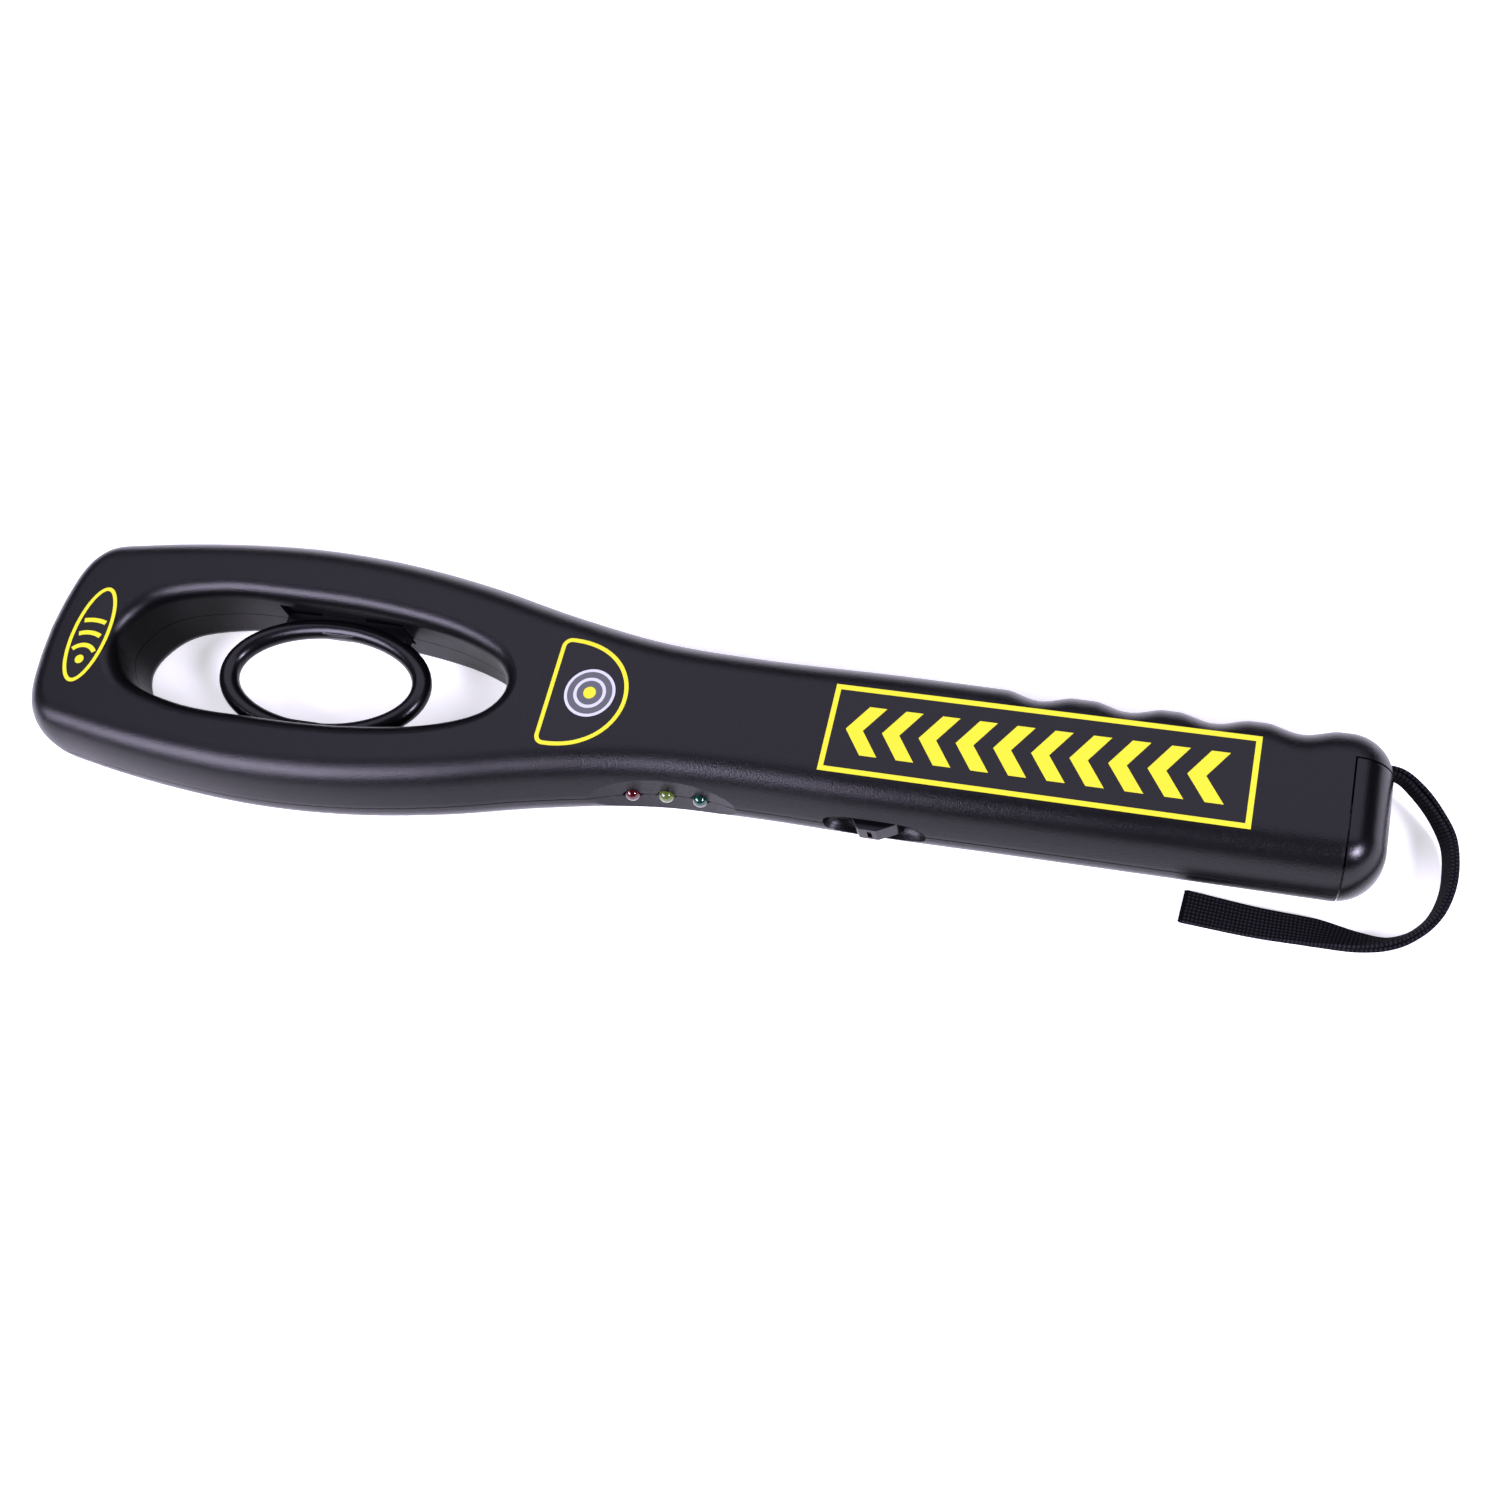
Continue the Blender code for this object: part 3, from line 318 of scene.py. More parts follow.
GREEN_LENS = Finish(
    "green lens", (0.002, 0.045, 0.026), 0.07, Surface.LENS, 300.0, 0.00001, coat=0.6, transmission=0.35,
)
STEEL = Finish("zinc steel", (0.62, 0.62, 0.60), 0.32, Surface.BRUSHED, 2600.0, 0.00001, metallic=1.0)
COPPER = Finish("enamelled copper", (0.52, 0.2, 0.07), 0.3, Surface.BRUSHED, 2200.0, 0.00003, metallic=0.9)
BOARD = Finish("solder mask", (0.015, 0.12, 0.045), 0.38, grain=700.0, depth=0.00003, coat=0.3)
CHIP = Finish("moulded epoxy", (0.018, 0.018, 0.019), 0.55, grain=3200.0, depth=0.00002)
CAN = Finish("shrink sleeve", (0.02, 0.035, 0.2), 0.35, grain=900.0, depth=0.00001)
TRIMMER = Finish("blue moulding", (0.03, 0.11, 0.42), 0.45, grain=2400.0, depth=0.00001)
ROTOR = Finish("white moulding", (0.7, 0.69, 0.62), 0.45, grain=2400.0, depth=0.00001)
CELL = Finish("printed can", (0.42, 0.22, 0.07), 0.3, grain=500.0, depth=0.00001, metallic=0.35)
LEAD_RED = Finish("red insulation", (0.5, 0.015, 0.012), 0.45, grain=900.0, depth=0.00001)
LEAD_BLACK = Finish("black insulation", (0.012, 0.012, 0.012), 0.45, grain=900.0, depth=0.00001)
TABLE = Finish("white table", (0.9, 0.9, 0.88), 0.8, grain=60.0, depth=0.00002, mottle=0.01, glow=0.5)


# --- solids -----------------------------------------------------------------


def make_object(name: str, form: bmesh.types.BMesh, shown: bool = False) -> bpy.types.Object:
    """An object from a bmesh.

    Args:
        name: object name.
        form: the bmesh, freed here.
        shown: whether it stays in the picture.

    Returns:
        The new object.
    """
    bmesh.ops.recalc_face_normals(form, faces=form.faces)
    mesh = bpy.data.meshes.new(name)
    form.to_mesh(mesh)
    form.free()
    mesh.shade_smooth()
    made = bpy.data.objects.new(name, mesh)
    bpy.context.scene.collection.objects.link(made)
    made.hide_render = not shown
    return made


def loft(name: str, rings: Sequence[Sequence[Vector]], closed: bool = False) -> bpy.types.Object:
    """A body through rings of the same number of points.

    Args:
        name: object name.
        rings: the sections in order.
        closed: whether the last section meets the first, instead of two end caps.

    Returns:
        The new object.
    """
    form = bmesh.new()
    rows = [[form.verts.new(point * MM) for point in ring] for ring in rings]
    count = len(rows[0])
    pairs = list(zip(rows, rows[1:]))
    if closed:
        pairs.append((rows[-1], rows[0]))
    else:
        form.faces.new(rows[0])
        form.faces.new(rows[-1])
    for lower, upper in pairs:
        for i in range(count):
            j = (i + 1) % count
            form.faces.new((lower[i], lower[j], upper[j], upper[i]))
    return make_object(name, form)


def prism(name: str, outline: Sequence[Point2], low: float, high: float) -> bpy.types.Object:
    """An upright body on a flat outline.

    Args:
        name: object name.
        outline: plan points in order.
        low: height of its underside.
        high: height of its top.

    Returns:
        The new object.
    """
    return loft(name, [[Vector((x, y, z)) for x, y in outline] for z in (low, high)])


def block(
    name: str, low: Sequence[float], high: Sequence[float], rounding: float = 0.0
) -> bpy.types.Object:
    """A box between two corners.

    Args:
        name: object name.
        low: lowest corner.
        high: highest corner.
        rounding: radius of its edges.

    Returns:
        The new object.
    """
    form = bmesh.new()
    bmesh.ops.create_cube(form, size=1)
    bmesh.ops.scale(form, vec=[(b - a) * MM for a, b in zip(low, high)], verts=form.verts)
    if rounding:
        rounded(form, rounding)
    centre = [(a + b) / 2 * MM for a, b in zip(low, high)]
    bmesh.ops.translate(form, vec=centre, verts=form.verts)
    return make_object(name, form)


def rod(
    name: str, centre: Sequence[float], radius: float, length: float, axis: Axis = Axis.Z,
    sides: int = 32,
) -> bpy.types.Object:
    """A round rod centred on a point.

    Args:
        name: object name.
        centre: its middle.
        radius: its radius.
        length: its length.
        axis: the direction it lies along.
        sides: sides of its section.

    Returns:
        The new object.
    """
    form = bmesh.new()
    bmesh.ops.create_cone(
        form, cap_ends=True, segments=sides, radius1=radius * MM, radius2=radius * MM,
        depth=length * MM,
    )
    turn = {
        Axis.Y: Matrix.Rotation(math.pi / 2, 4, "X"),
        Axis.Z: Matrix.Identity(4),
    }[axis]
    bmesh.ops.transform(form, matrix=turn, verts=form.verts)
    bmesh.ops.translate(form, vec=Vector(centre) * MM, verts=form.verts)
    return make_object(name, form)


def carve(target: bpy.types.Object, tool: bpy.types.Object, cut: Cut = Cut.AWAY) -> None:
    """Adds one cut or join to a solid.

    Args:
        target: the solid that changes.
        tool: the other solid.
        cut: what happens.
    """
    for solid, mark in ((target, "own skin"), (tool, "cut skin")):
        if not solid.data.materials:
            found = bpy.data.materials.get(mark) or bpy.data.materials.new(mark)
            solid.data.materials.append(found)
    modifier = target.modifiers.new(tool.name, "BOOLEAN")
    modifier.solver = "EXACT"
    modifier.material_mode = "TRANSFER"
    modifier.operation = cut.value
    modifier.object = tool


def settle(solid: bpy.types.Object, sharp: float = 34.0) -> bpy.types.Object:
    """Turns a solid and its cuts into one plain mesh with clean shading.

    Args:
        solid: the solid with its cuts.
        sharp: edge angle in degrees from which an edge stays sharp.

    Returns:
        The finished object, under the same name.
    """
    name = solid.name
    bpy.context.view_layer.update()
    graph = bpy.context.evaluated_depsgraph_get()
    rough = bpy.data.meshes.new_from_object(solid.evaluated_get(graph))
    bpy.data.objects.remove(solid)
    form = bmesh.new()
    form.from_mesh(rough)
    bmesh.ops.remove_doubles(form, verts=form.verts, dist=WELD * MM)
    bmesh.ops.dissolve_degenerate(form, edges=form.edges, dist=WELD * MM)
    limits = (math.radians(sharp), math.radians(CREASE))
    for face in form.faces:
        face.smooth = True
    for edge in form.edges:
        if len(edge.link_faces) == 2:
            one, other = edge.link_faces
            limit = limits[one.material_index != other.material_index]
            edge.smooth = edge.calc_face_angle(0.0) < limit
    form.to_mesh(rough)
    form.free()
    shaded = bpy.data.objects.new(name + "_rough", rough)
    bpy.context.scene.collection.objects.link(shaded)
    modifier = shaded.modifiers.new("even", "WEIGHTED_NORMAL")
    modifier.keep_sharp = True
    modifier.weight = 60
    bpy.context.view_layer.update()
    graph = bpy.context.evaluated_depsgraph_get()
    mesh = bpy.data.meshes.new_from_object(shaded.evaluated_get(graph))
    bpy.data.objects.remove(shaded)
    mesh.name = name
    made = bpy.data.objects.new(name, mesh)
    bpy.context.scene.collection.objects.link(made)
    return made


def show(
    obj: bpy.types.Object, finish: Finish, body: str, nodes: Sequence[str] = (),
) -> None:
    """Dresses a finished piece and lets it move with its body.

    Args:
        obj: the piece.
        finish: its look.
        body: the body it moves with.
        nodes: the hidden nodes that it stands for.
    """
    obj.data.materials.clear()
    obj.data.materials.append(finish.material())
    obj.hide_render = False
    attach(obj, body)
    if nodes:
        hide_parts(*nodes)


def span(node: str) -> tuple[Point2, Point2]:
    """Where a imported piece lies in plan.

    Args:
        node: its name.

    Returns:
        Its lowest and highest corner, in millimetres.
    """
    low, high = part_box(node)
    return tuple((round(corner.x / MM, 3), round(corner.y / MM, 3)) for corner in (low, high))


def middle(node: str) -> Point2:
    """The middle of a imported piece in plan.

    Args:
        node: its name.

    Returns:
        The point, in millimetres.
    """
    low, high = span(node)
    return round((low[0] + high[0]) / 2, 3), round((low[1] + high[1]) / 2, 3)


def rounded(form: bmesh.types.BMesh, radius: float) -> None:
    """Rounds every edge of a form.

    Args:
        form: the form.
        radius: radius of the edges.
    """
    bmesh.ops.bevel(
        form, geom=form.edges[:], offset=radius * MM, segments=3, profile=0.5,
        affect="EDGES", material=-1,
    )


# --- curves -----------------------------------------------------------------


def weighted(a: Vector, b: Vector, start: float, end: float, at: float) -> Vector:
    """The blend of two points for a knot value between theirs.

    Args:
        a: first point.
        b: second point.
        start: knot value of the first.
        end: knot value of the second.
        at: the knot value wanted.

    Returns:
        The blended point.
    """
    share = (at - start) / (end - start)
    return a * (1 - share) + b * share


def smooth_curve(points: Sequence[Sequence[float]], steps: int = 40, closed: bool = False) -> Ring:
    """A dense centripetal curve through the given points.

    Args:
        points: what it passes through.
        steps: points made between two of them.
        closed: whether it runs round.

    Returns:
        The dense points.
    """
    knots = [Vector((*point, 0)[:3]) for point in points]
    if closed:
        chain = [knots[-1], *knots, knots[0], knots[1]]
    else:
        chain = [knots[0] * 2 - knots[1], *knots, knots[-1] * 2 - knots[-2]]
    dense = []
    for a, b, c, d in zip(chain, chain[1:], chain[2:], chain[3:]):
        t1 = math.sqrt((b - a).length)
        t2 = t1 + math.sqrt((c - b).length)
        t3 = t2 + math.sqrt((d - c).length)
        for step in range(steps):
            at = t1 + (t2 - t1) * step / steps
            ab = weighted(a, b, 0, t1, at)
            bc = weighted(b, c, t1, t2, at)
            cd = weighted(c, d, t2, t3, at)
            early = weighted(ab, bc, 0, t2, at)
            late = weighted(bc, cd, t1, t3, at)
            dense.append(weighted(early, late, t1, t2, at))
    if not closed:
        dense.append(knots[-1])
    return dense


def thinned(dense: Ring, turn: float, longest: float) -> Ring:
    """Fewer points of a dense curve: one at each small turn or long stretch.

    Args:
        dense: the dense points.
        turn: turn in degrees that calls for a point.
        longest: longest stretch without one.

    Returns:
        The kept points.
    """
    kept = [dense[0]]
    heading = dense[1] - dense[0]
    for point, after in zip(dense[1:], dense[2:]):
        here = after - point
        if math.degrees(heading.angle(here)) > turn or (point - kept[-1]).length > longest:
            kept.append(point)
            heading = here
    kept.append(dense[-1])
    return kept


def grown(outline: Sequence[Point2], distance: float, z: float) -> Ring:
    """A closed outline moved outward, at one height.

    Args:
        outline: plan points, counter-clockwise.
        distance: how far it moves out.
        z: its height.

    Returns:
        The new ring.
    """
    ring = []
    points = list(outline)
    for before, here, after in zip(points[-1:] + points[:-1], points, points[1:] + points[:1]):
        along = Vector((after[0] - before[0], after[1] - before[1])).normalized()
        ring.append(Vector((here[0] + along.y * distance, here[1] - along.x * distance, z)))
    return ring


def oval(centre: Point2, half_x: float, half_y: float, count: int) -> list[Point2]:
    """Points round an oval, counter-clockwise.

    Args:
        centre: its centre.
        half_x: half its length along X.
        half_y: half its length along Y.
        count: how many points.

    Returns:
        The points.
    """
    turns = [2 * math.pi * step / count for step in range(count)]
    return [(centre[0] + half_x * math.cos(t), centre[1] + half_y * math.sin(t)) for t in turns]


# --- the case ---------------------------------------------------------------


@dataclass
class Plan:
    """Plan outline, edge rounding and finger grips of the case."""

    butt_x: float = 205.0
    handle_half: float = 22.2
    side: tuple[Point2, ...] = (
        (-205, 0), (-204.3, 11), (-202.2, 22.6), (-198.9, 29.2), (-193.2, 34.1),
        (-180, 37.1), (-150, 40.8), (-120, 42.3), (-90, 40.7), (-60, 36.1),
        (-30, 29.3), (0, 24.2), (30, 22.8), (70, 23.0), (110, 22.6), (150, 22.3),
    )
    butt_radius: float = 12.5
    edge_stations: tuple[float, ...] = (-205, -180, -120, 60, 190, 205)
    edge_insets: tuple[float, ...] = (9.0, 10.3, 10.9, 11.6, 11.6, 10.8)
    edge_power: float = 2.25
    seam_round: float = 0.22
    grip_centres: tuple[float, ...] = (110.2, 134.6, 157.4, 180.3)
    grip_length: float = 18.6
    grip_depth: float = 2.1
    grip_start: float = 95.0

    def grip_dip(self, x: float) -> float:
        """How deep the finger grips are at a station.

        Args:
            x: the station.

        Returns:
            The depth.
        """
        for centre in self.grip_centres:
            away = abs(x - centre) / (self.grip_length / 2)
            if away < 1:
                return self.grip_depth * math.cos(away * math.pi / 2) ** 1.6
        return 0.0

    def outline(self, turn: float = 2.4, longest: float = 4.0) -> tuple[list[Point2], list[Point2]]:
        """The whole plan outline, counter-clockwise, and its inward directions.

        Args:
            turn: turn in degrees between points.
            longest: longest stretch between points.

        Returns:
            The points and the directions.
        """
        side = [(p.x, p.y) for p in thinned(smooth_curve(self.side), turn, longest)]
        centre = (self.butt_x - self.butt_radius, self.handle_half - self.butt_radius)
        steps = round(60 / turn)
        corner = []
        for step in range(steps + 1):
            angle = math.pi / 2 * (1 - step / steps)
            corner.append((
                centre[0] + self.butt_radius * math.cos(angle),
                centre[1] + self.butt_radius * math.sin(angle),
            ))
        near = [(x, -y) for x, y in side + corner]
        last_x = self.grip_centres[-1] + self.grip_length / 2
        count = round((last_x - self.grip_start) / min(longest / 3, 2.8))
        xs = [x for x, _ in side + corner[:1]]
        ys = [y for _, y in side + corner[:1]]
        grips = [(x, float(np.interp(x, xs, ys))) for x in np.linspace(last_x, self.grip_start, count)]
        clear = self.grip_start - longest / 3
        far = corner[::-1] + grips + [p for p in side[::-1] if p[0] < clear]
        points = near + far[:-1]
        inward = []
        for before, after in zip(points[-1:] + points[:-1], points[1:] + points[:1]):
            along = Vector((after[0] - before[0], after[1] - before[1])).normalized()
            inward.append((-along.y, along.x))
        return points, inward

    def profile(self, steps: int) -> list[Point2]:
        """Share of the inset and of the height from the parting to the face.

        Args:
            steps: how many steps.

        Returns:
            The pairs of shares.
        """
        pairs = []
        for step in range(steps + 1):
            angle = math.pi / 2 * step / steps
            sink = 1 - abs(math.cos(angle)) ** (2 / self.edge_power) if step < steps else 1.0
            pairs.append((sink, math.sin(angle) ** (2 / self.edge_power)))
        return pairs

    def ring(
        self, shape: tuple[list[Point2], list[Point2]], share: float, z: float,
        wall: float = 0.0, grips: bool = True,
    ) -> Ring:
        """The outline drawn in by a share of the edge rounding, at one height.

        Args:
            shape: points and inward directions.
            share: share of the edge inset.
            z: the height.
            wall: thickness taken off first.
            grips: whether the finger grips are pressed in.

        Returns:
            The ring.
        """
        points = []
        for (x, y), (dx, dy) in zip(*shape):
            most = float(np.interp(x, self.edge_stations, self.edge_insets)) - wall
            inset = wall + most * share
            dip = self.grip_dip(x) if grips and y > 0 else 0.0
            points.append(Vector((x + dx * inset, y + dy * inset - dip, z)))
        return points

    def half(self, up: int, steps: int = 15) -> list[Ring]:
        """Rings of one outer half, from the parting outward.

        Args:
            up: 1 for the upper half, -1 for the lower.
            steps: steps of the rounding.

        Returns:
            The rings.
        """
        shape = self.outline()
        start = SEAM / 2
        lift = start + self.seam_round
        edge = [(self.seam_round, start), (self.seam_round * 0.3, start + self.seam_round * 0.3)]
        rings = [self.ring(shape, 0.0, PARTING + up * z, wall=inset) for inset, z in edge]
        height = PARTING - lift
        for sink, rise in self.profile(steps):
            rings.append(self.ring(shape, sink, PARTING + up * (lift + height * rise)))
        return rings

    def whole(self, steps: int = 15) -> list[Ring]:
        """Rings of the whole outside from the underside to the top.

        Args:
            steps: steps of each rounding.

        Returns:
            The rings.
        """
        shape = self.outline()
        pairs = self.profile(steps)
        lower = [self.ring(shape, sink, PARTING * (1 - rise)) for sink, rise in pairs[::-1]]
        upper = [self.ring(shape, sink, PARTING * (1 + rise)) for sink, rise in pairs[1:]]
        return lower + upper


@dataclass
class CaseTools:
    """The solids that are cut from both shells."""

    plan: Plan
    wall: float = 2.2
    window: tuple[Point2, ...] = (
        (-177, 0), (-170, 12.2), (-150, 18.8), (-120, 20), (-90, 18.8), (-62, 14),
        (-48, 7.3), (-44.3, 0),
    )
    window_rounding: float = 5.0
    pillar_wall: float = 2.8
    case_screws: tuple[Point2, ...] = field(
        default_factory=lambda: tuple(middle(f"case_screw_{number}") for number in range(1, 7))
    )
    boss_radius: float = 3.5
    scoop_x: float = 14.5
    scoop_y: float = -21.2
    scoop_radius: float = 80.0
    switch_x: float = field(default_factory=lambda: middle("slide_switch_body")[0])
    recess_rings: tuple[tuple[float, float, float], ...] = (
        (-27.0, 15.4, 6.5), (-22.9, 14.6, 5.8), (-21.2, 14.2, 5.45), (-20.5, 13.8, 5.2),
        (-19.9, 13.3, 4.9), (-19.4, 12.7, 4.6), (-19.1, 12.0, 4.3),
    )
    recess_power: float = 3.2
    lamp_x: tuple[float, ...] = field(
        default_factory=lambda: tuple(middle(node)[0] for node in LAMP_NODES)
    )
    lamp_hole: float = 2.62
    notch_half_x: float = 4.3
    notch_half_z: float = 1.1
    door_x: float = 194.3
    door_y: float = 10.9
    door_gap: float = 0.5
    chamber_y: Point2 = (-18.4, 10.0)
    chamber_z: Point2 = (5.2, 24.8)
    chamber_start: float = 186.0

    def window_outline(self, turn: float = 3.0, longest: float = 4.0) -> list[Point2]:
        """The closed outline of the window, counter-clockwise.

        Args:
            turn: turn in degrees between points.
            longest: longest stretch between points.

        Returns:
            The points.
        """
        lower = [(x, -y) for x, y in self.window[1:-1]]
        loop = smooth_curve(lower[::-1] + list(self.window), closed=True)
        kept = thinned(loop, turn, longest)[:-1]
        return [(p.x, p.y) for p in kept[::-1]]

    def window_tool(self) -> bpy.types.Object:
        """The window with its rims rounded outward at both faces.

        Returns:
            The tool.
        """
        outline = self.window_outline()
        steps = 9
        flare = []
        for step in range(steps):
            angle = math.pi / 2 * step / steps
            flare.append((
                self.window_rounding * (1 - math.cos(angle)),
                self.window_rounding * (1 - math.sin(angle)),
            ))
        last = self.window_rounding * 1.12
        rings = [grown(outline, last, -SEAM)]
        rings += [grown(outline, out, depth) for out, depth in flare[::-1]]
        rings += [grown(outline, out, THICK - depth) for out, depth in flare]
        rings.append(grown(outline, last, THICK + SEAM))
        return loft("tool_window", rings)

    def cavity_tool(self) -> bpy.types.Object:
        """The room inside, less the solid places that the shells keep.

        Returns:
            The tool.
        """
        shape = self.plan.outline(9.0, 14.0)
        rings = []
        pairs = self.plan.profile(5)
        inner = PARTING - self.wall
        for up, steps in ((-1, pairs[::-1]), (1, pairs[1:])):
            for sink, rise in steps:
                rings.append(self.plan.ring(shape, sink, PARTING + up * inner * rise, self.wall, False))
        cavity = loft("tool_cavity", rings)
        pillar = [(p.x, p.y) for p in grown(self.window_outline(10, 11), self.pillar_wall, 0)]
        y0, y1 = self.chamber_y
        z0, z1 = self.chamber_z
        start = self.chamber_start
        end = self.plan.butt_x + PAST
        top = THICK + PAST
        keeps = [
            prism("keep_pillar", pillar, -PAST, top),
            block("keep_grips", (self.plan.grip_start - 3, 17.9, -PAST), (end, 40, top)),
            block("keep_lamp_wall", (-14, -40, -PAST), (32, -17.8, top)),
            block("keep_switch_wall", (52, -40, -PAST), (90, -17.2, top)),
            block("keep_butt", (start, y1, -PAST), (end, 41, top)),
            block("keep_side", (start, -41, -PAST), (end, y0, top)),
            block("keep_roof", (start, -42, z1), (end, 42, top)),
            block("keep_floor", (start, -42, -PAST), (end, 42, z0)),
            block("keep_notch_far", (-132, 14, 8), (-82.5, 24.7, 25)),
            block("keep_notch_near", (-132, -24.7, 8), (-82.5, -14, 25)),
        ]
        for number, (x, y) in enumerate(self.case_screws):
            keeps.append(rod(f"keep_boss_{number}", (x, y, PARTING), self.boss_radius, THICK + 10))
        for keep in keeps:
            carve(cavity, keep)
        return cavity

    def scoop_tool(self) -> bpy.types.Object:
        """The shallow hollow that the lamps stand in.

        Returns:
            The tool.
        """
        steps = 40
        reach = 31.0
        arc = []
        for step in range(steps + 1):
            x = self.scoop_x - reach + 2 * reach * step / steps
            drop = self.scoop_radius - math.sqrt(self.scoop_radius ** 2 - (x - self.scoop_x) ** 2)
            arc.append((x, self.scoop_y - drop))
        ends = [(self.scoop_x - reach, -45.0), (self.scoop_x + reach, -45.0)]
        return prism("tool_scoop", ends + arc[::-1], -2, THICK + 2)

    def recess_tool(self) -> bpy.types.Object:
        """The oval bowl that the switch knob slides in.

        Returns:
            The tool.
        """
        rings = []
        sides = 56
        power = self.recess_power
        for y, half_x, half_z in self.recess_rings:
            ring = []
            for side in range(sides):
                angle = 2 * math.pi * side / sides
                bulge = abs(math.cos(angle)) ** power + abs(math.sin(angle)) ** power
                reach = bulge ** (-1 / power)
                ring.append(Vector((
                    self.switch_x + half_x * reach * math.cos(angle), y,
                    PARTING + half_z * reach * math.sin(angle),
                )))
            rings.append(ring)
        return loft("tool_recess", rings)

    def shared(self) -> list[bpy.types.Object]:
        """All tools that both shells are cut with.

        Returns:
            The tools.
        """
        tools = [self.cavity_tool(), self.window_tool(), self.scoop_tool(), self.recess_tool()]
        x = self.switch_x
        tools.append(block("tool_stem", (x - 5.9, -20.5, 13.4), (x + 5.9, -16.5, 16.6)))
        for number, lamp in enumerate(self.lamp_x):
            tools.append(rod(f"tool_lamp_{number}", (lamp, -20, PARTING), self.lamp_hole, 12, Axis.Y))
        for number, lamp in enumerate(self.lamp_x):
            tools.append(self.seam_notch(f"tool_notch_{number}", lamp))
        tools.append(block(
            "tool_door", (self.door_x - self.door_gap / 2, -50, -PAST),
            (self.plan.butt_x + PAST, self.door_y + self.door_gap / 2, THICK + PAST),
        ))
        tools.append(block("tool_strap_room", (196.4, 12.8, 9.3), (self.plan.butt_x + 4, 17.0, 20.7)))
        for side in (-1, 1):
            near, far = sorted((side * 18.0, side * 26.0))
            tools.append(block(f"tool_tab_{side}", (-117.7, near, 12.7), (-101.3, far, 17.3)))
        return tools

    def seam_notch(self, name: str, lamp: float) -> bpy.types.Object:
        """The pointed openings that the seam leaves on both sides of a lamp.

        Args:
            name: tool name.
            lamp: station of the lamp.

        Returns:
            The tool.
        """
        half_x = self.notch_half_x
        half_z = self.notch_half_z
        corners = ((half_x, 0.0), (0.0, half_z), (-half_x, 0.0), (0.0, -half_z))
        rings = []
        for y in (-26.0, -19.4):
            rings.append([Vector((lamp + x, y, PARTING + z)) for x, z in corners])
        return loft(name, rings)

    def keepers(self, up: int) -> list[bpy.types.Object]:
        """The hooked channel for one tongue of the door.

        Args:
            up: 1 for the upper shell, -1 for the lower.

        Returns:
            The tools.
        """
        rooms = (
            ((190.8, 197.3), (-15.6, -3.6), (23.8, 27.6)),
            ((190.8, 192.7), (-15.6, -3.6), (27.3, 28.6)),
            ((192.0, 197.3), (-15.6, -9.3), (27.3, 28.6)),
        )
        tools = []
        for number, (xs, ys, zs) in enumerate(rooms):
            low, high = sorted(PARTING + up * (z - PARTING) for z in zs)
            tools.append(block(f"tool_keeper_{up}_{number}", (xs[0], ys[0], low), (xs[1], ys[1], high)))
        return tools


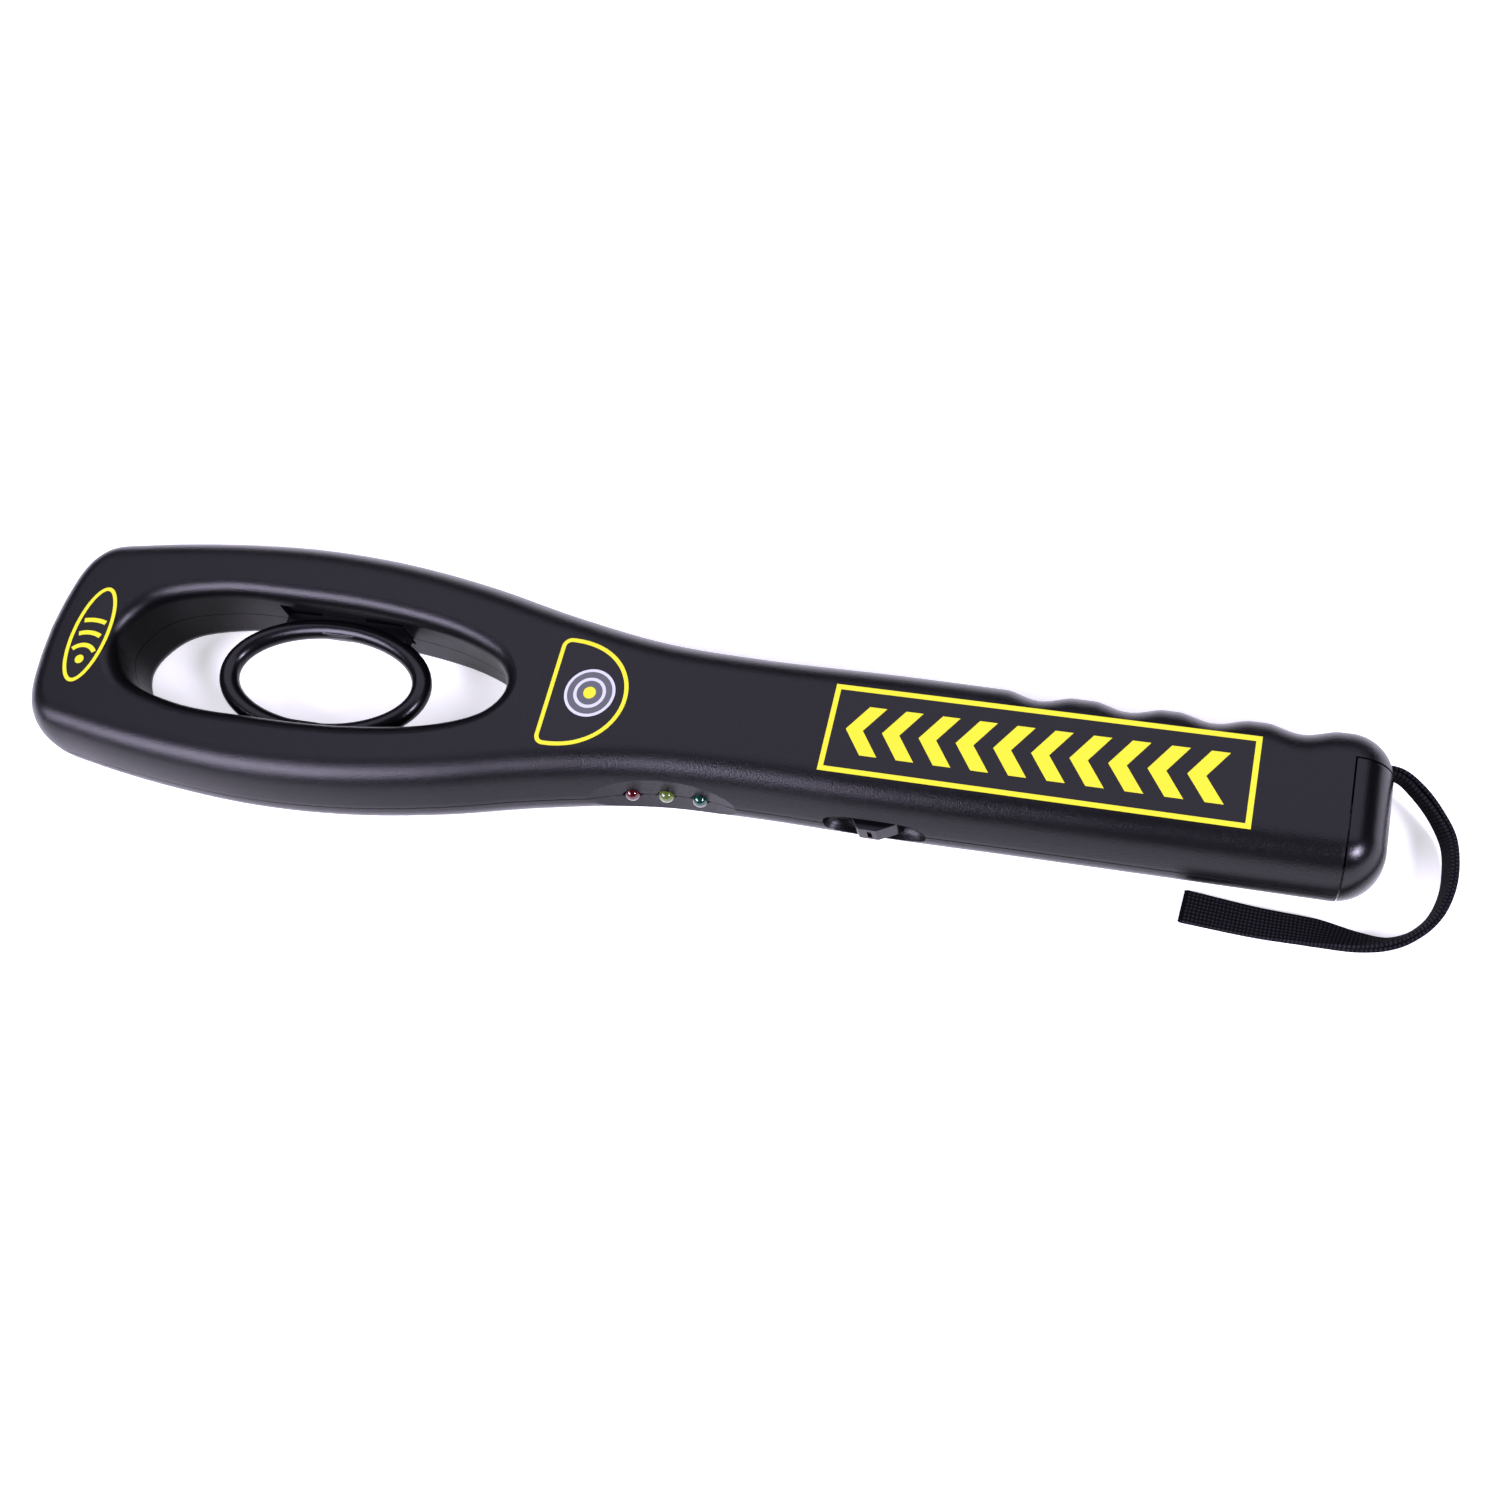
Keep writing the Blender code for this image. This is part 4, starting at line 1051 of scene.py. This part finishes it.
@dataclass
class Case:
    """The two shells and the battery door."""

    plan: Plan = field(default_factory=Plan)
    pocket_x: Point2 = (-129.0, -85.5)
    pocket_y: float = 21.6
    pocket_top: float = 23.0
    pocket_floor: float = 11.0
    pocket_lap: float = 2.0
    slots: int = 5
    slot_pitch: float = 4.0
    slot_half_width: float = 0.9
    pilot_radius: float = 1.35
    shank_radius: float = 1.5
    head_radius: float = 2.55
    post_radius: float = 2.6
    trimmer_hole: float = 2.2

    def build(self) -> None:
        """Builds and dresses the shells and the door."""
        tools = CaseTools(self.plan)
        shared = tools.shared()
        self._top(tools, shared)
        self._bottom(tools, shared)
        self._door(tools)
        drop_tools()
        LOG.info("case ready")

    def _pocket(self, name: str, low: float, high: float) -> bpy.types.Object:
        """The notch in both window walls that the ring rests in.

        Args:
            name: tool name.
            low: its floor.
            high: its top.

        Returns:
            The tool.
        """
        x0, x1 = self.pocket_x
        return block(name, (x0, -self.pocket_y, low), (x1, self.pocket_y, high))

    def _top(self, tools: CaseTools, shared: list[bpy.types.Object]) -> None:
        """The upper shell.

        Args:
            tools: makes the tools of this shell.
            shared: the tools of both shells.
        """
        shell = loft("case_top", self.plan.half(1))
        own = tools.keepers(1)
        own.append(self._pocket("tool_pocket_top", PARTING - self.pocket_lap, self.pocket_top))
        for number, (x, y) in enumerate(tools.case_screws):
            own.append(rod(f"tool_pilot_{number}", (x, y, PARTING), self.pilot_radius, 16, sides=16))
        for tool in shared + own:
            carve(shell, tool)
        show(settle(shell), CASE, WAND, ["top_shell"])

    def _bottom(self, tools: CaseTools, shared: list[bpy.types.Object]) -> None:
        """The lower shell with its screw holes, sounder slots and board posts.

        Args:
            tools: makes the tools of this shell.
            shared: the tools of both shells.
        """
        shell = loft("case_bottom", self.plan.half(-1))
        own = tools.keepers(-1)
        own.append(self._pocket("tool_pocket_low", self.pocket_floor, PARTING + self.pocket_lap))
        for number, (x, y) in enumerate(tools.case_screws):
            own.append(rod(f"tool_shank_{number}", (x, y, PARTING), self.shank_radius, 40, sides=20))
            own.append(rod(f"tool_head_{number}", (x, y, 0), self.head_radius, 9))
        last_slot = self.slots // 2
        wide = self.slot_half_width
        for slot in range(-last_slot, last_slot + 1):
            x = middle("speaker")[0] + slot * self.slot_pitch
            half = 8.0 - abs(slot) * 1.2
            own.append(block(f"tool_slot_{slot}", (x - wide, -half, -2), (x + wide, half, 5), 0.85))
        own.append(rod("tool_trimmer_hole", (*middle("trimmer_rotor"), 0), self.trimmer_hole, 8))
        for number in range(2):
            x, y = middle(f"board_screw_{number + 1}")
            carve(shell, rod(f"post_{number}", (x, y, 4.4), self.post_radius, 6.4), Cut.JOIN)
            own.append(rod(f"tool_post_{number}", (x, y, 6), self.pilot_radius, 6, sides=16))
        for tool in shared + own:
            carve(shell, tool)
        show(settle(shell), CASE, WAND, ["bottom_shell"])

    def _door(self, tools: CaseTools) -> None:
        """The end cap with its two tongues.

        Args:
            tools: the sizes of the door's opening.
        """
        door = loft("end_door", self.plan.whole())
        face_x = tools.door_x + tools.door_gap / 2
        face_y = tools.door_y - tools.door_gap / 2
        keep = block("keep_door", (face_x, -60, -6), (self.plan.butt_x + 6, face_y, THICK + 6))
        carve(door, keep, Cut.KEEP)
        carve(door, block("tool_door_room", (face_x - 4, -17.0, 5.2), (202.4, 8.6, 24.8), 2.5))
        for up in (1, -1):
            outline = (
                (face_x + 1.5, 25.9), (191.2, 25.9), (191.2, 28.3), (192.4, 28.3),
                (192.4, 27.3), (face_x + 1.5, 27.3),
            )
            rings = []
            for y in (-9.0, -4.0):
                rings.append([Vector((x, y, PARTING + up * (z - PARTING))) for x, z in outline])
            carve(door, loft(f"tongue_{up}", rings), Cut.JOIN)
        show(settle(door), DOOR, "door", ["battery_door"])


def drop_tools() -> None:
    """Removes every solid that only served as a tool."""
    for obj in list(bpy.context.scene.objects):
        if obj.type == "MESH" and obj.name.startswith(("tool_", "keep_", "post_", "tongue_")):
            bpy.data.objects.remove(obj)


# --- pieces on the case -----------------------------------------------------


@dataclass
class SearchRing:
    """The oval ring across the window with its two tabs."""

    centre_x: float = field(default_factory=lambda: middle("ring_cover_top")[0])
    long_half: float = 33.0
    short_half: float = 17.9
    tube: float = 3.1
    tab_half: float = 8.0
    tab_reach: float = 24.5
    tab_height: float = 2.1
    web_x: Point2 = (-128.7, -85.8)
    web_y: Point2 = (15.0, 21.3)
    web_half: float = 2.0
    stations: int = 132
    sides: int = 32

    def build(self) -> None:
        """Builds and dresses the ring."""
        rings = []
        for station in range(self.stations):
            turn = 2 * math.pi * station / self.stations
            place = Vector((
                self.centre_x + self.long_half * math.cos(turn), self.short_half * math.sin(turn), PARTING,
            ))
            out = Vector((
                math.cos(turn) / self.long_half, math.sin(turn) / self.short_half, 0,
            )).normalized()
            ring = []
            for side in range(self.sides):
                angle = 2 * math.pi * side / self.sides
                lift = Vector((0, 0, self.tube * math.sin(angle)))
                ring.append(place + out * (self.tube * math.cos(angle)) + lift)
            rings.append(ring)
        hoop = loft("oval_ring", rings, closed=True)
        for side in (-1, 1):
            near, far = sorted((side * self.short_half, side * self.tab_reach))
            low = (self.centre_x - self.tab_half, near, PARTING - self.tab_height)
            high = (self.centre_x + self.tab_half, far, PARTING + self.tab_height)
            carve(hoop, block(f"keep_tab_{side}", low, high, 0.3), Cut.JOIN)
            near, far = sorted(side * y for y in self.web_y)
            low = (self.web_x[0], near, PARTING - self.web_half)
            high = (self.web_x[1], far, PARTING + self.web_half)
            carve(hoop, block(f"keep_web_{side}", low, high, 0.5), Cut.JOIN)
        nodes = ["ring_cover_top", "ring_cover_bottom"]
        show(settle(hoop, 50), RING, WAND, nodes)
        drop_tools()


@dataclass
class Lamps:
    """Three domed indicator lamps."""

    radius: float = 2.35
    rim: float = 0.45
    rim_depth: float = 1.0
    tips: tuple[float, ...] = (-24.5, -23.6, -23.5)
    base_y: float = -14.7
    sides: int = 40

    def build(self) -> None:
        """Builds and dresses the lamps."""
        looks = ((RED_LENS, "red_lens"), (AMBER_LENS, "amber_lens"), (GREEN_LENS, "green_lens"))
        for node, tip, (finish, slot) in zip(LAMP_NODES, self.tips, looks):
            centre = (middle(node)[0], PARTING)
            rings = []
            for y, radius in self._profile(tip):
                rings.append([Vector((x, y, z)) for x, z in oval(centre, radius, radius, self.sides)])
            show(settle(loft(f"dome_{node}", rings), 40), finish, WAND, [node])

    def _profile(self, tip: float) -> list[Point2]:
        """Distance along the lamp and radius, from the tip inward.

        Args:
            tip: where its dome ends.

        Returns:
            The pairs.
        """
        steps = 12
        profile = []
        for step in range(steps + 1):
            angle = math.pi / 2 * (0.04 + 0.96 * step / steps)
            profile.append((tip + self.radius * (1 - math.cos(angle)), self.radius * math.sin(angle)))
        base = self.base_y
        rim = self.radius + self.rim
        back = base - self.rim_depth
        return profile + [(back, self.radius), (back, rim), (base, rim)]


@dataclass
class Knob:
    """Knob of the slide switch with its stem."""

    outline: tuple[Point2, ...] = (
        (64.2, -19.8), (64.6, -21.7), (66.6, -24.4), (72.0, -24.4), (77.2, -21.7), (78.4, -19.8),
    )
    half_height: float = 3.4
    rounding: float = 0.35
    stem_half_x: float = 1.5
    stem_half_z: float = 1.2

    def build(self) -> None:
        """Builds and dresses the knob."""
        form = bmesh.new()
        face = form.faces.new([
            form.verts.new(Vector((x, y, PARTING - self.half_height)) * MM) for x, y in self.outline
        ])
        made = bmesh.ops.extrude_face_region(form, geom=[face])
        raised = [v for v in made["geom"] if isinstance(v, bmesh.types.BMVert)]
        bmesh.ops.translate(form, vec=(0, 0, 2 * self.half_height * MM), verts=raised)
        rounded(form, self.rounding)
        knob = make_object("switch_knob", form)
        x = middle("slide_switch_body")[0]
        low = (x - self.stem_half_x, -20.6, PARTING - self.stem_half_z)
        high = (x + self.stem_half_x, -15.0, PARTING + self.stem_half_z)
        carve(knob, block("keep_stem", low, high), Cut.JOIN)
        mark = block("tool_mark", (69.2, -25, PARTING - 2), (70.5, -23.7, PARTING + 2))
        carve(knob, mark)
        show(settle(knob), DOOR, "power_switch", ["power_switch_knob"])
        drop_tools()


@dataclass
class Labels:
    """The three stick-on labels and their print."""

    film_top: float = 30.05
    film_sink: float = 0.2
    ink: float = 0.03
    handle_line: float = 1.5
    neck_corner: float = 3.0
    thin_line: float = 1.25
    chevrons: int = 10
    chevron_pitch: float = 10.3
    chevron_half: float = 7.5
    chevron_width: float = 4.86
    chevron_slope: float = 0.72
    badge_centre: Point2 = (-16.6, 0.6)
    wave_dot: float = 1.5
    wave_drop: float = 9.0
    wave_radii: tuple[float, ...] = (5.0, 9.5, 14.0)
    wave_line: float = 1.5
    wave_half_width: float = 3.9

    def build(self) -> None:
        """Builds and dresses the labels and what is printed on them."""
        (x0, y0), (x1, y1) = span("handle_label")
        handle = [(x0, y0), (x1, y0), (x1, y1), (x0, y1)]
        neck = self._neck()
        (left, near), (right, far) = span("nose_label")
        nose = oval(middle("nose_label"), (right - left) / 2, (far - near) / 2, 96)
        for node, outline in (("handle_label", handle), ("neck_label", neck), ("nose_label", nose)):
            film = prism(f"film_{node}", outline, THICK - self.film_sink, self.film_top)
            show(settle(film), FILM, WAND, [node])
        self._line("line_handle", handle, self.handle_line)
        self._line("line_neck", neck, self.thin_line)
        self._line("line_nose", nose, self.thin_line)
        self._chevrons()
        self._badge()
        self._waves()

    def _neck(self) -> list[Point2]:
        """A D with its bow toward the handle and softly rounded corners.

        Returns:
            The plan points, counter-clockwise.
        """
        radius = self.neck_corner
        (left, _), (tip, half) = span("neck_label")
        centre = left + radius
        reach = tip - centre
        steps = 8
        points: list[Point2] = []
        for step in range(steps + 1):
            angle = math.pi + math.pi / 2 * step / steps
            points.append((centre + radius * math.cos(angle), radius - half + radius * math.sin(angle)))
        bow = 48
        for step in range(1, bow):
            angle = math.pi * step / bow - math.pi / 2
            points.append((centre + reach * math.cos(angle) ** 0.9, half * math.sin(angle)))
        points += [(x, -y) for x, y in points[steps::-1]]
        return points

    def _print(self, name: str, form: bmesh.types.BMesh, finish: Finish, level: int = 1) -> None:
        """Raises flat faces into a film of ink on the labels.

        Args:
            name: object name.
            form: the flat faces.
            finish: the ink.
            level: how many films deep it lies.
        """
        low = self.film_top - self.ink / 2
        bmesh.ops.translate(form, vec=(0, 0, low * MM), verts=form.verts)
        made = bmesh.ops.extrude_face_region(form, geom=form.faces[:])
        raised = [v for v in made["geom"] if isinstance(v, bmesh.types.BMVert)]
        bmesh.ops.translate(form, vec=(0, 0, self.ink * (level + 0.5) * MM), verts=raised)
        ink = make_object(name, form)
        ink.data.set_sharp_from_angle(angle=math.radians(30))
        show(ink, finish, WAND)

    def _flat(self, form: bmesh.types.BMesh, outline: Sequence[Point2]) -> bmesh.types.BMFace:
        """A flat face on an outline.

        Args:
            form: the bmesh it joins.
            outline: plan points.

        Returns:
            The face.
        """
        return form.faces.new([form.verts.new(Vector((x, y, 0)) * MM) for x, y in outline])

    def _line(self, name: str, outline: Sequence[Point2], width: float) -> None:
        """A printed line round a label.

        Args:
            name: object name.
            outline: plan points of the label.
            width: width of the line.
        """
        form = bmesh.new()
        face = self._flat(form, outline)
        form.normal_update()
        bmesh.ops.inset_region(
            form, faces=[face], thickness=width * MM, use_even_offset=True, use_boundary=True,
        )
        bmesh.ops.delete(form, geom=[face], context="FACES")
        self._print(name, form, YELLOW)

    def _chevrons(self) -> None:
        """A row of arrowheads that point to the search head."""
        form = bmesh.new()
        middle_x, middle_y = middle("handle_label")
        first = middle_x - self.chevron_pitch * (self.chevrons - 1) / 2
        half = self.chevron_half
        width = self.chevron_width
        for number in range(self.chevrons):
            tip = first + number * self.chevron_pitch - (half + width) / 2
            tail = tip + half * self.chevron_slope
            self._flat(form, [
                (tip, middle_y), (tail, middle_y - half), (tail + width, middle_y - half),
                (tip + width, middle_y), (tail + width, middle_y + half), (tail, middle_y + half),
            ])
        self._print("arrows_handle", form, YELLOW)

    def _badge(self) -> None:
        """A plain round target on the neck label."""
        rounds = (
            ("badge_rim", 7.7, WHITE_PRINT), ("badge_field", 6.8, GREY_PRINT),
            ("badge_ring", 4.9, WHITE_PRINT), ("badge_gap", 3.9, GREY_PRINT), ("badge_dot", 1.9, YELLOW),
        )
        for level, (name, radius, finish) in enumerate(rounds, 1):
            form = bmesh.new()
            self._flat(form, oval(self.badge_centre, radius, radius, 64))
            self._print(name, form, finish, level)

    def _waves(self) -> None:
        """A dot with three growing arcs, the sign for a search field, on the nose label."""
        form = bmesh.new()
        x, y = middle("nose_label")
        base = (x, y - self.wave_drop)
        self._flat(form, oval(base, self.wave_dot, self.wave_dot, 32))
        half_line = self.wave_line / 2
        for radius in self.wave_radii:
            spread = math.asin(min(0.85, self.wave_half_width / radius))
            steps = 12
            arc = []
            for reach, order in ((radius - half_line, 1), (radius + half_line, -1)):
                for step in range(steps + 1):
                    angle = order * spread * (2 * step / steps - 1)
                    arc.append((base[0] + reach * math.sin(angle), base[1] + reach * math.cos(angle)))
            self._flat(form, arc)
        self._print("waves_nose", form, YELLOW)


@dataclass
class Strap:
    """The wrist webbing: one band folded double, on edge at the case and flat at its fold."""

    width: float = 9.2
    layer: float = 1.05
    route: tuple[tuple[float, float, float], ...] = (
        (200.3, 14.8, 15.0), (206.5, 14.3, 14.6), (211.5, 11.5, 12.5), (217, 6.5, 9.2),
        (220.8, 0.5, 6.9), (222, -7, 5.9), (221.5, -14, 5.5), (219, -21, 5.4),
        (214.5, -26.3, 5.2), (208.5, -29.5, 4.8), (201, -30, 3.9), (190, -28.6, 2.3),
        (175, -28, 1.7), (156.4, -26.5, 1.7),
    )
    leans: tuple[float, ...] = (0, 1, 3, 5, 7, 9, 10, 12, 16, 28, 52, 80, 90, 90)
    gathers: tuple[float, ...] = (
        0.50, 0.50, 0.52, 0.64, 0.82, 0.9, 0.88, 0.82, 0.76, 0.72, 0.74, 0.84, 0.9, 0.99,
    )
    spreads: tuple[float, ...] = (
        0.70, 0.75, 0.95, 0.75, 0.62, 0.6, 0.6, 0.62, 0.65, 0.66, 0.62, 0.6, 0.6, 0.6,
    )
    spacing: float = 1.0
    across: tuple[float, ...] = (-0.98, -0.85, -0.5, 0.0, 0.5, 0.85, 0.98)
    mouth: tuple[float, float, float] = (204.0, 14.8, 15.0)
    diameter: float = 10.0

    def build(self) -> None:
        line = self._middle()
        rings, runs = self._rings(line)
        strap = loft("folded_strap", rings)
        self._unwrap(strap, runs, len(rings[0]))
        show(strap, WEBBING, WAND, ["wrist_strap"])
        strap.data.set_sharp_from_angle(angle=math.radians(60))

    def _middle(self) -> list[tuple[Vector, Vector, Vector, float]]:
        """The line between the two layers with its directions.

        Returns:
            For each point: place, direction across the width, direction through
            the layers, and half the distance between the layers' middles.
        """
        dense = smooth_curve(self.route, 24)
        line = thinned(dense, 3.0, self.spacing)
        knots = [0.0]
        for a, b in zip(self.route, self.route[1:]):
            knots.append(knots[-1] + (Vector(b) - Vector(a)).length)
        total = sum((b - a).length for a, b in zip(line, line[1:]))
        run = 0.0
        made = []
        for number, point in enumerate(line):
            if number:
                run += (point - line[number - 1]).length
            at = run / total * knots[-1]
            lean = math.radians(float(np.interp(at, knots, self.leans)))
            before = line[max(number - 1, 0)]
            after = line[min(number + 1, len(line) - 1)]
            along = (after - before).normalized()
            left = Vector((-along.y, along.x, 0)).normalized()
            wide = (along.cross(left) * math.cos(lean) + left * math.sin(lean)).normalized()
            through = along.cross(wide).normalized()
            wide *= float(np.interp(at, knots, self.gathers))
            made.append((point, wide, through, float(np.interp(at, knots, self.spreads))))
        return made

    def _section(self, place: Vector, wide: Vector, through: Vector) -> Ring:
        """A flat rounded section.

        Args:
            place: its middle.
            wide: direction across the width.
            through: direction through the layer.

        Returns:
            The points round it.
        """
        half = self.width / 2
        thin = self.layer / 2
        ring = [place + wide * (half * a) + through * thin for a in self.across]
        ring.append(place + wide * half)
        ring += [place + wide * (half * a) - through * thin for a in self.across[::-1]]
        ring.append(place - wide * half)
        return ring

    def _rings(
        self, line: list[tuple[Vector, Vector, Vector, float]]
    ) -> tuple[list[Ring], list[float]]:
        """Sections out along one layer, round the fold and back along the other.

        Args:
            line: the line between the layers.

        Returns:
            The sections and how far along the band each lies.
        """
        rings = [self._section(p - t * s, w, t) for p, w, t, s in line]
        place, wide, through, spread = line[-1]
        along = (place - line[-2][0]).normalized()
        steps = 8
        for step in range(1, steps):
            angle = math.pi * step / steps
            turned = through * math.cos(angle) - along * math.sin(angle)
            rings.append(self._section(place - turned * spread, wide, turned))
        rings += [self._section(p + t * s, w, -t) for p, w, t, s in line[::-1]]
        runs = [0.0]
        for before, after in zip(rings, rings[1:]):
            runs.append(runs[-1] + (after[3] - before[3]).length)
        return rings, runs

    def _unwrap(self, strap: bpy.types.Object, runs: list[float], count: int) -> None:
        """Lays the band out flat for its weave.

        Args:
            strap: the object.
            runs: how far along the band each section lies.
            count: points in a section.
        """
        layer = strap.data.uv_layers.new(name="band")
        half = self.width / 2
        places = (*self.across, 1.0, *self.across[::-1], -1.0)
        for loop in strap.data.loops:
            section, side = divmod(loop.vertex_index, count)
            layer.data[loop.index].uv = (runs[section] * MM, places[side] * half * MM)


# --- what lies inside -------------------------------------------------------


@dataclass
class Inside:
    """Looks of the pieces that keep their plain shape."""

    looks: dict[str, Finish] = field(default_factory=lambda: {
        "search_coil": COPPER, "inner_coil": COPPER, "search_coil_lead": COPPER,
        "inner_coil_lead": COPPER, "circuit_board": BOARD, "microcontroller_chip": CHIP,
        "amplifier_chip": CHIP, "voltage_regulator": CHIP, "supply_capacitor": CAN,
        "coil_capacitor": CAN, "slide_switch_body": STEEL, "speaker": CHIP,
        "speaker_lead_red": LEAD_RED, "speaker_lead_black": LEAD_BLACK,
        "vibration_motor": STEEL, "vibration_weight": STEEL, "trimmer_body": TRIMMER,
        "trimmer_rotor": ROTOR, "battery": CELL, "battery_snap": CHIP,
        "battery_lead_red": LEAD_RED, "battery_lead_black": LEAD_BLACK,
        "strap_anchor_pin": STEEL,
    })

    def dress(self) -> None:
        """Gives every such piece its finish."""
        for number in range(1, 7):
            self.looks[f"case_screw_{number}"] = STEEL
        for number in range(1, 3):
            self.looks[f"board_screw_{number}"] = STEEL
        for node, finish in self.looks.items():
            piece = frame["nodes"][node]
            piece.data.materials.clear()
            piece.data.materials.append(finish.material())


# --- the studio -------------------------------------------------------------


@dataclass
class Studio:
    """Camera, lights and white table."""

    eye: tuple[float, float, float] = (0.16705, -0.19977, 0.46282)
    right: tuple[float, float, float] = (0.954032, 0.231177, -0.190737)
    up: tuple[float, float, float] = (-0.130316, 0.893080, 0.430611)
    back: tuple[float, float, float] = (0.269890, -0.385960, 0.882153)
    lens: float = 42.234
    sensor: float = 36.0
    table_half: float = 3.0
    tint: tuple[float, float, float] = (0.80, 0.745, 1.0)
    room: float = 0.03

    def place_camera(self) -> None:
        """Sets up the camera."""
        data = bpy.data.cameras.new("studio_camera")
        data.lens = self.lens
        data.sensor_width = self.sensor
        data.clip_start = 0.01
        camera = bpy.data.objects.new("studio_camera", data)
        turn = Matrix((self.right, self.up, self.back)).transposed()
        camera.matrix_world = Matrix.Translation(self.eye) @ turn.to_4x4()
        bpy.context.scene.collection.objects.link(camera)
        bpy.context.scene.camera = camera

    def light(self) -> None:
        """Places the table, the soft boxes and the room light."""
        form = bmesh.new()
        bmesh.ops.create_grid(form, x_segments=1, y_segments=1, size=self.table_half)
        table = make_object("table", form, shown=True)
        table.data.materials.append(TABLE.material())
        self._box("overhead_box", (-0.1, 0.80, 1.2), (-0.1, 0.8, 0.0), (2.4, 1.5), 18.5)
        self._box("left_box", (-0.72, -0.72, 0.78), (-0.1, 0.0, 0.0), (0.9, 0.55), 27.0)
        self._box("right_box", (1.0, -0.5, 0.8), (0.0, 0.0, 0.0), (0.3, 0.3), 24.0)
        self._room()

    def _box(
        self, name: str, place: Sequence[float], target: Sequence[float], size: Point2, power: float
    ) -> None:
        """One soft box.

        Args:
            name: light name.
            place: where it hangs.
            target: what it faces.
            size: its width and height.
            power: its power in watts.
        """
        data = bpy.data.lights.new(name, "AREA")
        data.shape = "RECTANGLE"
        data.size, data.size_y = size
        data.energy = power
        data.color = self.tint
        lamp = bpy.data.objects.new(name, data)
        lamp.location = place
        facing = (Vector(target) - Vector(place)).to_track_quat("-Z", "Y")
        lamp.rotation_euler = facing.to_euler()
        bpy.context.scene.collection.objects.link(lamp)

    def _room(self) -> None:
        """Dim even room light, so that the soft boxes draw the highlights."""
        world = bpy.data.worlds.new("room")
        world.use_nodes = True
        background = world.node_tree.nodes["Background"]
        background.inputs["Color"].default_value = (*self.tint, 1.0)
        background.inputs["Strength"].default_value = self.room
        bpy.context.scene.view_settings.view_transform = "Standard"
        bpy.context.scene.world = world


def main() -> None:
    """Builds every sub-assembly in order."""
    logging.basicConfig(level=logging.INFO)
    studio = Studio()
    studio.place_camera()
    Strap().build()
    Case().build()
    SearchRing().build()
    Lamps().build()
    Knob().build()
    Labels().build()
    Inside().dress()
    studio.light()


if __name__ == "__main__":
    main()
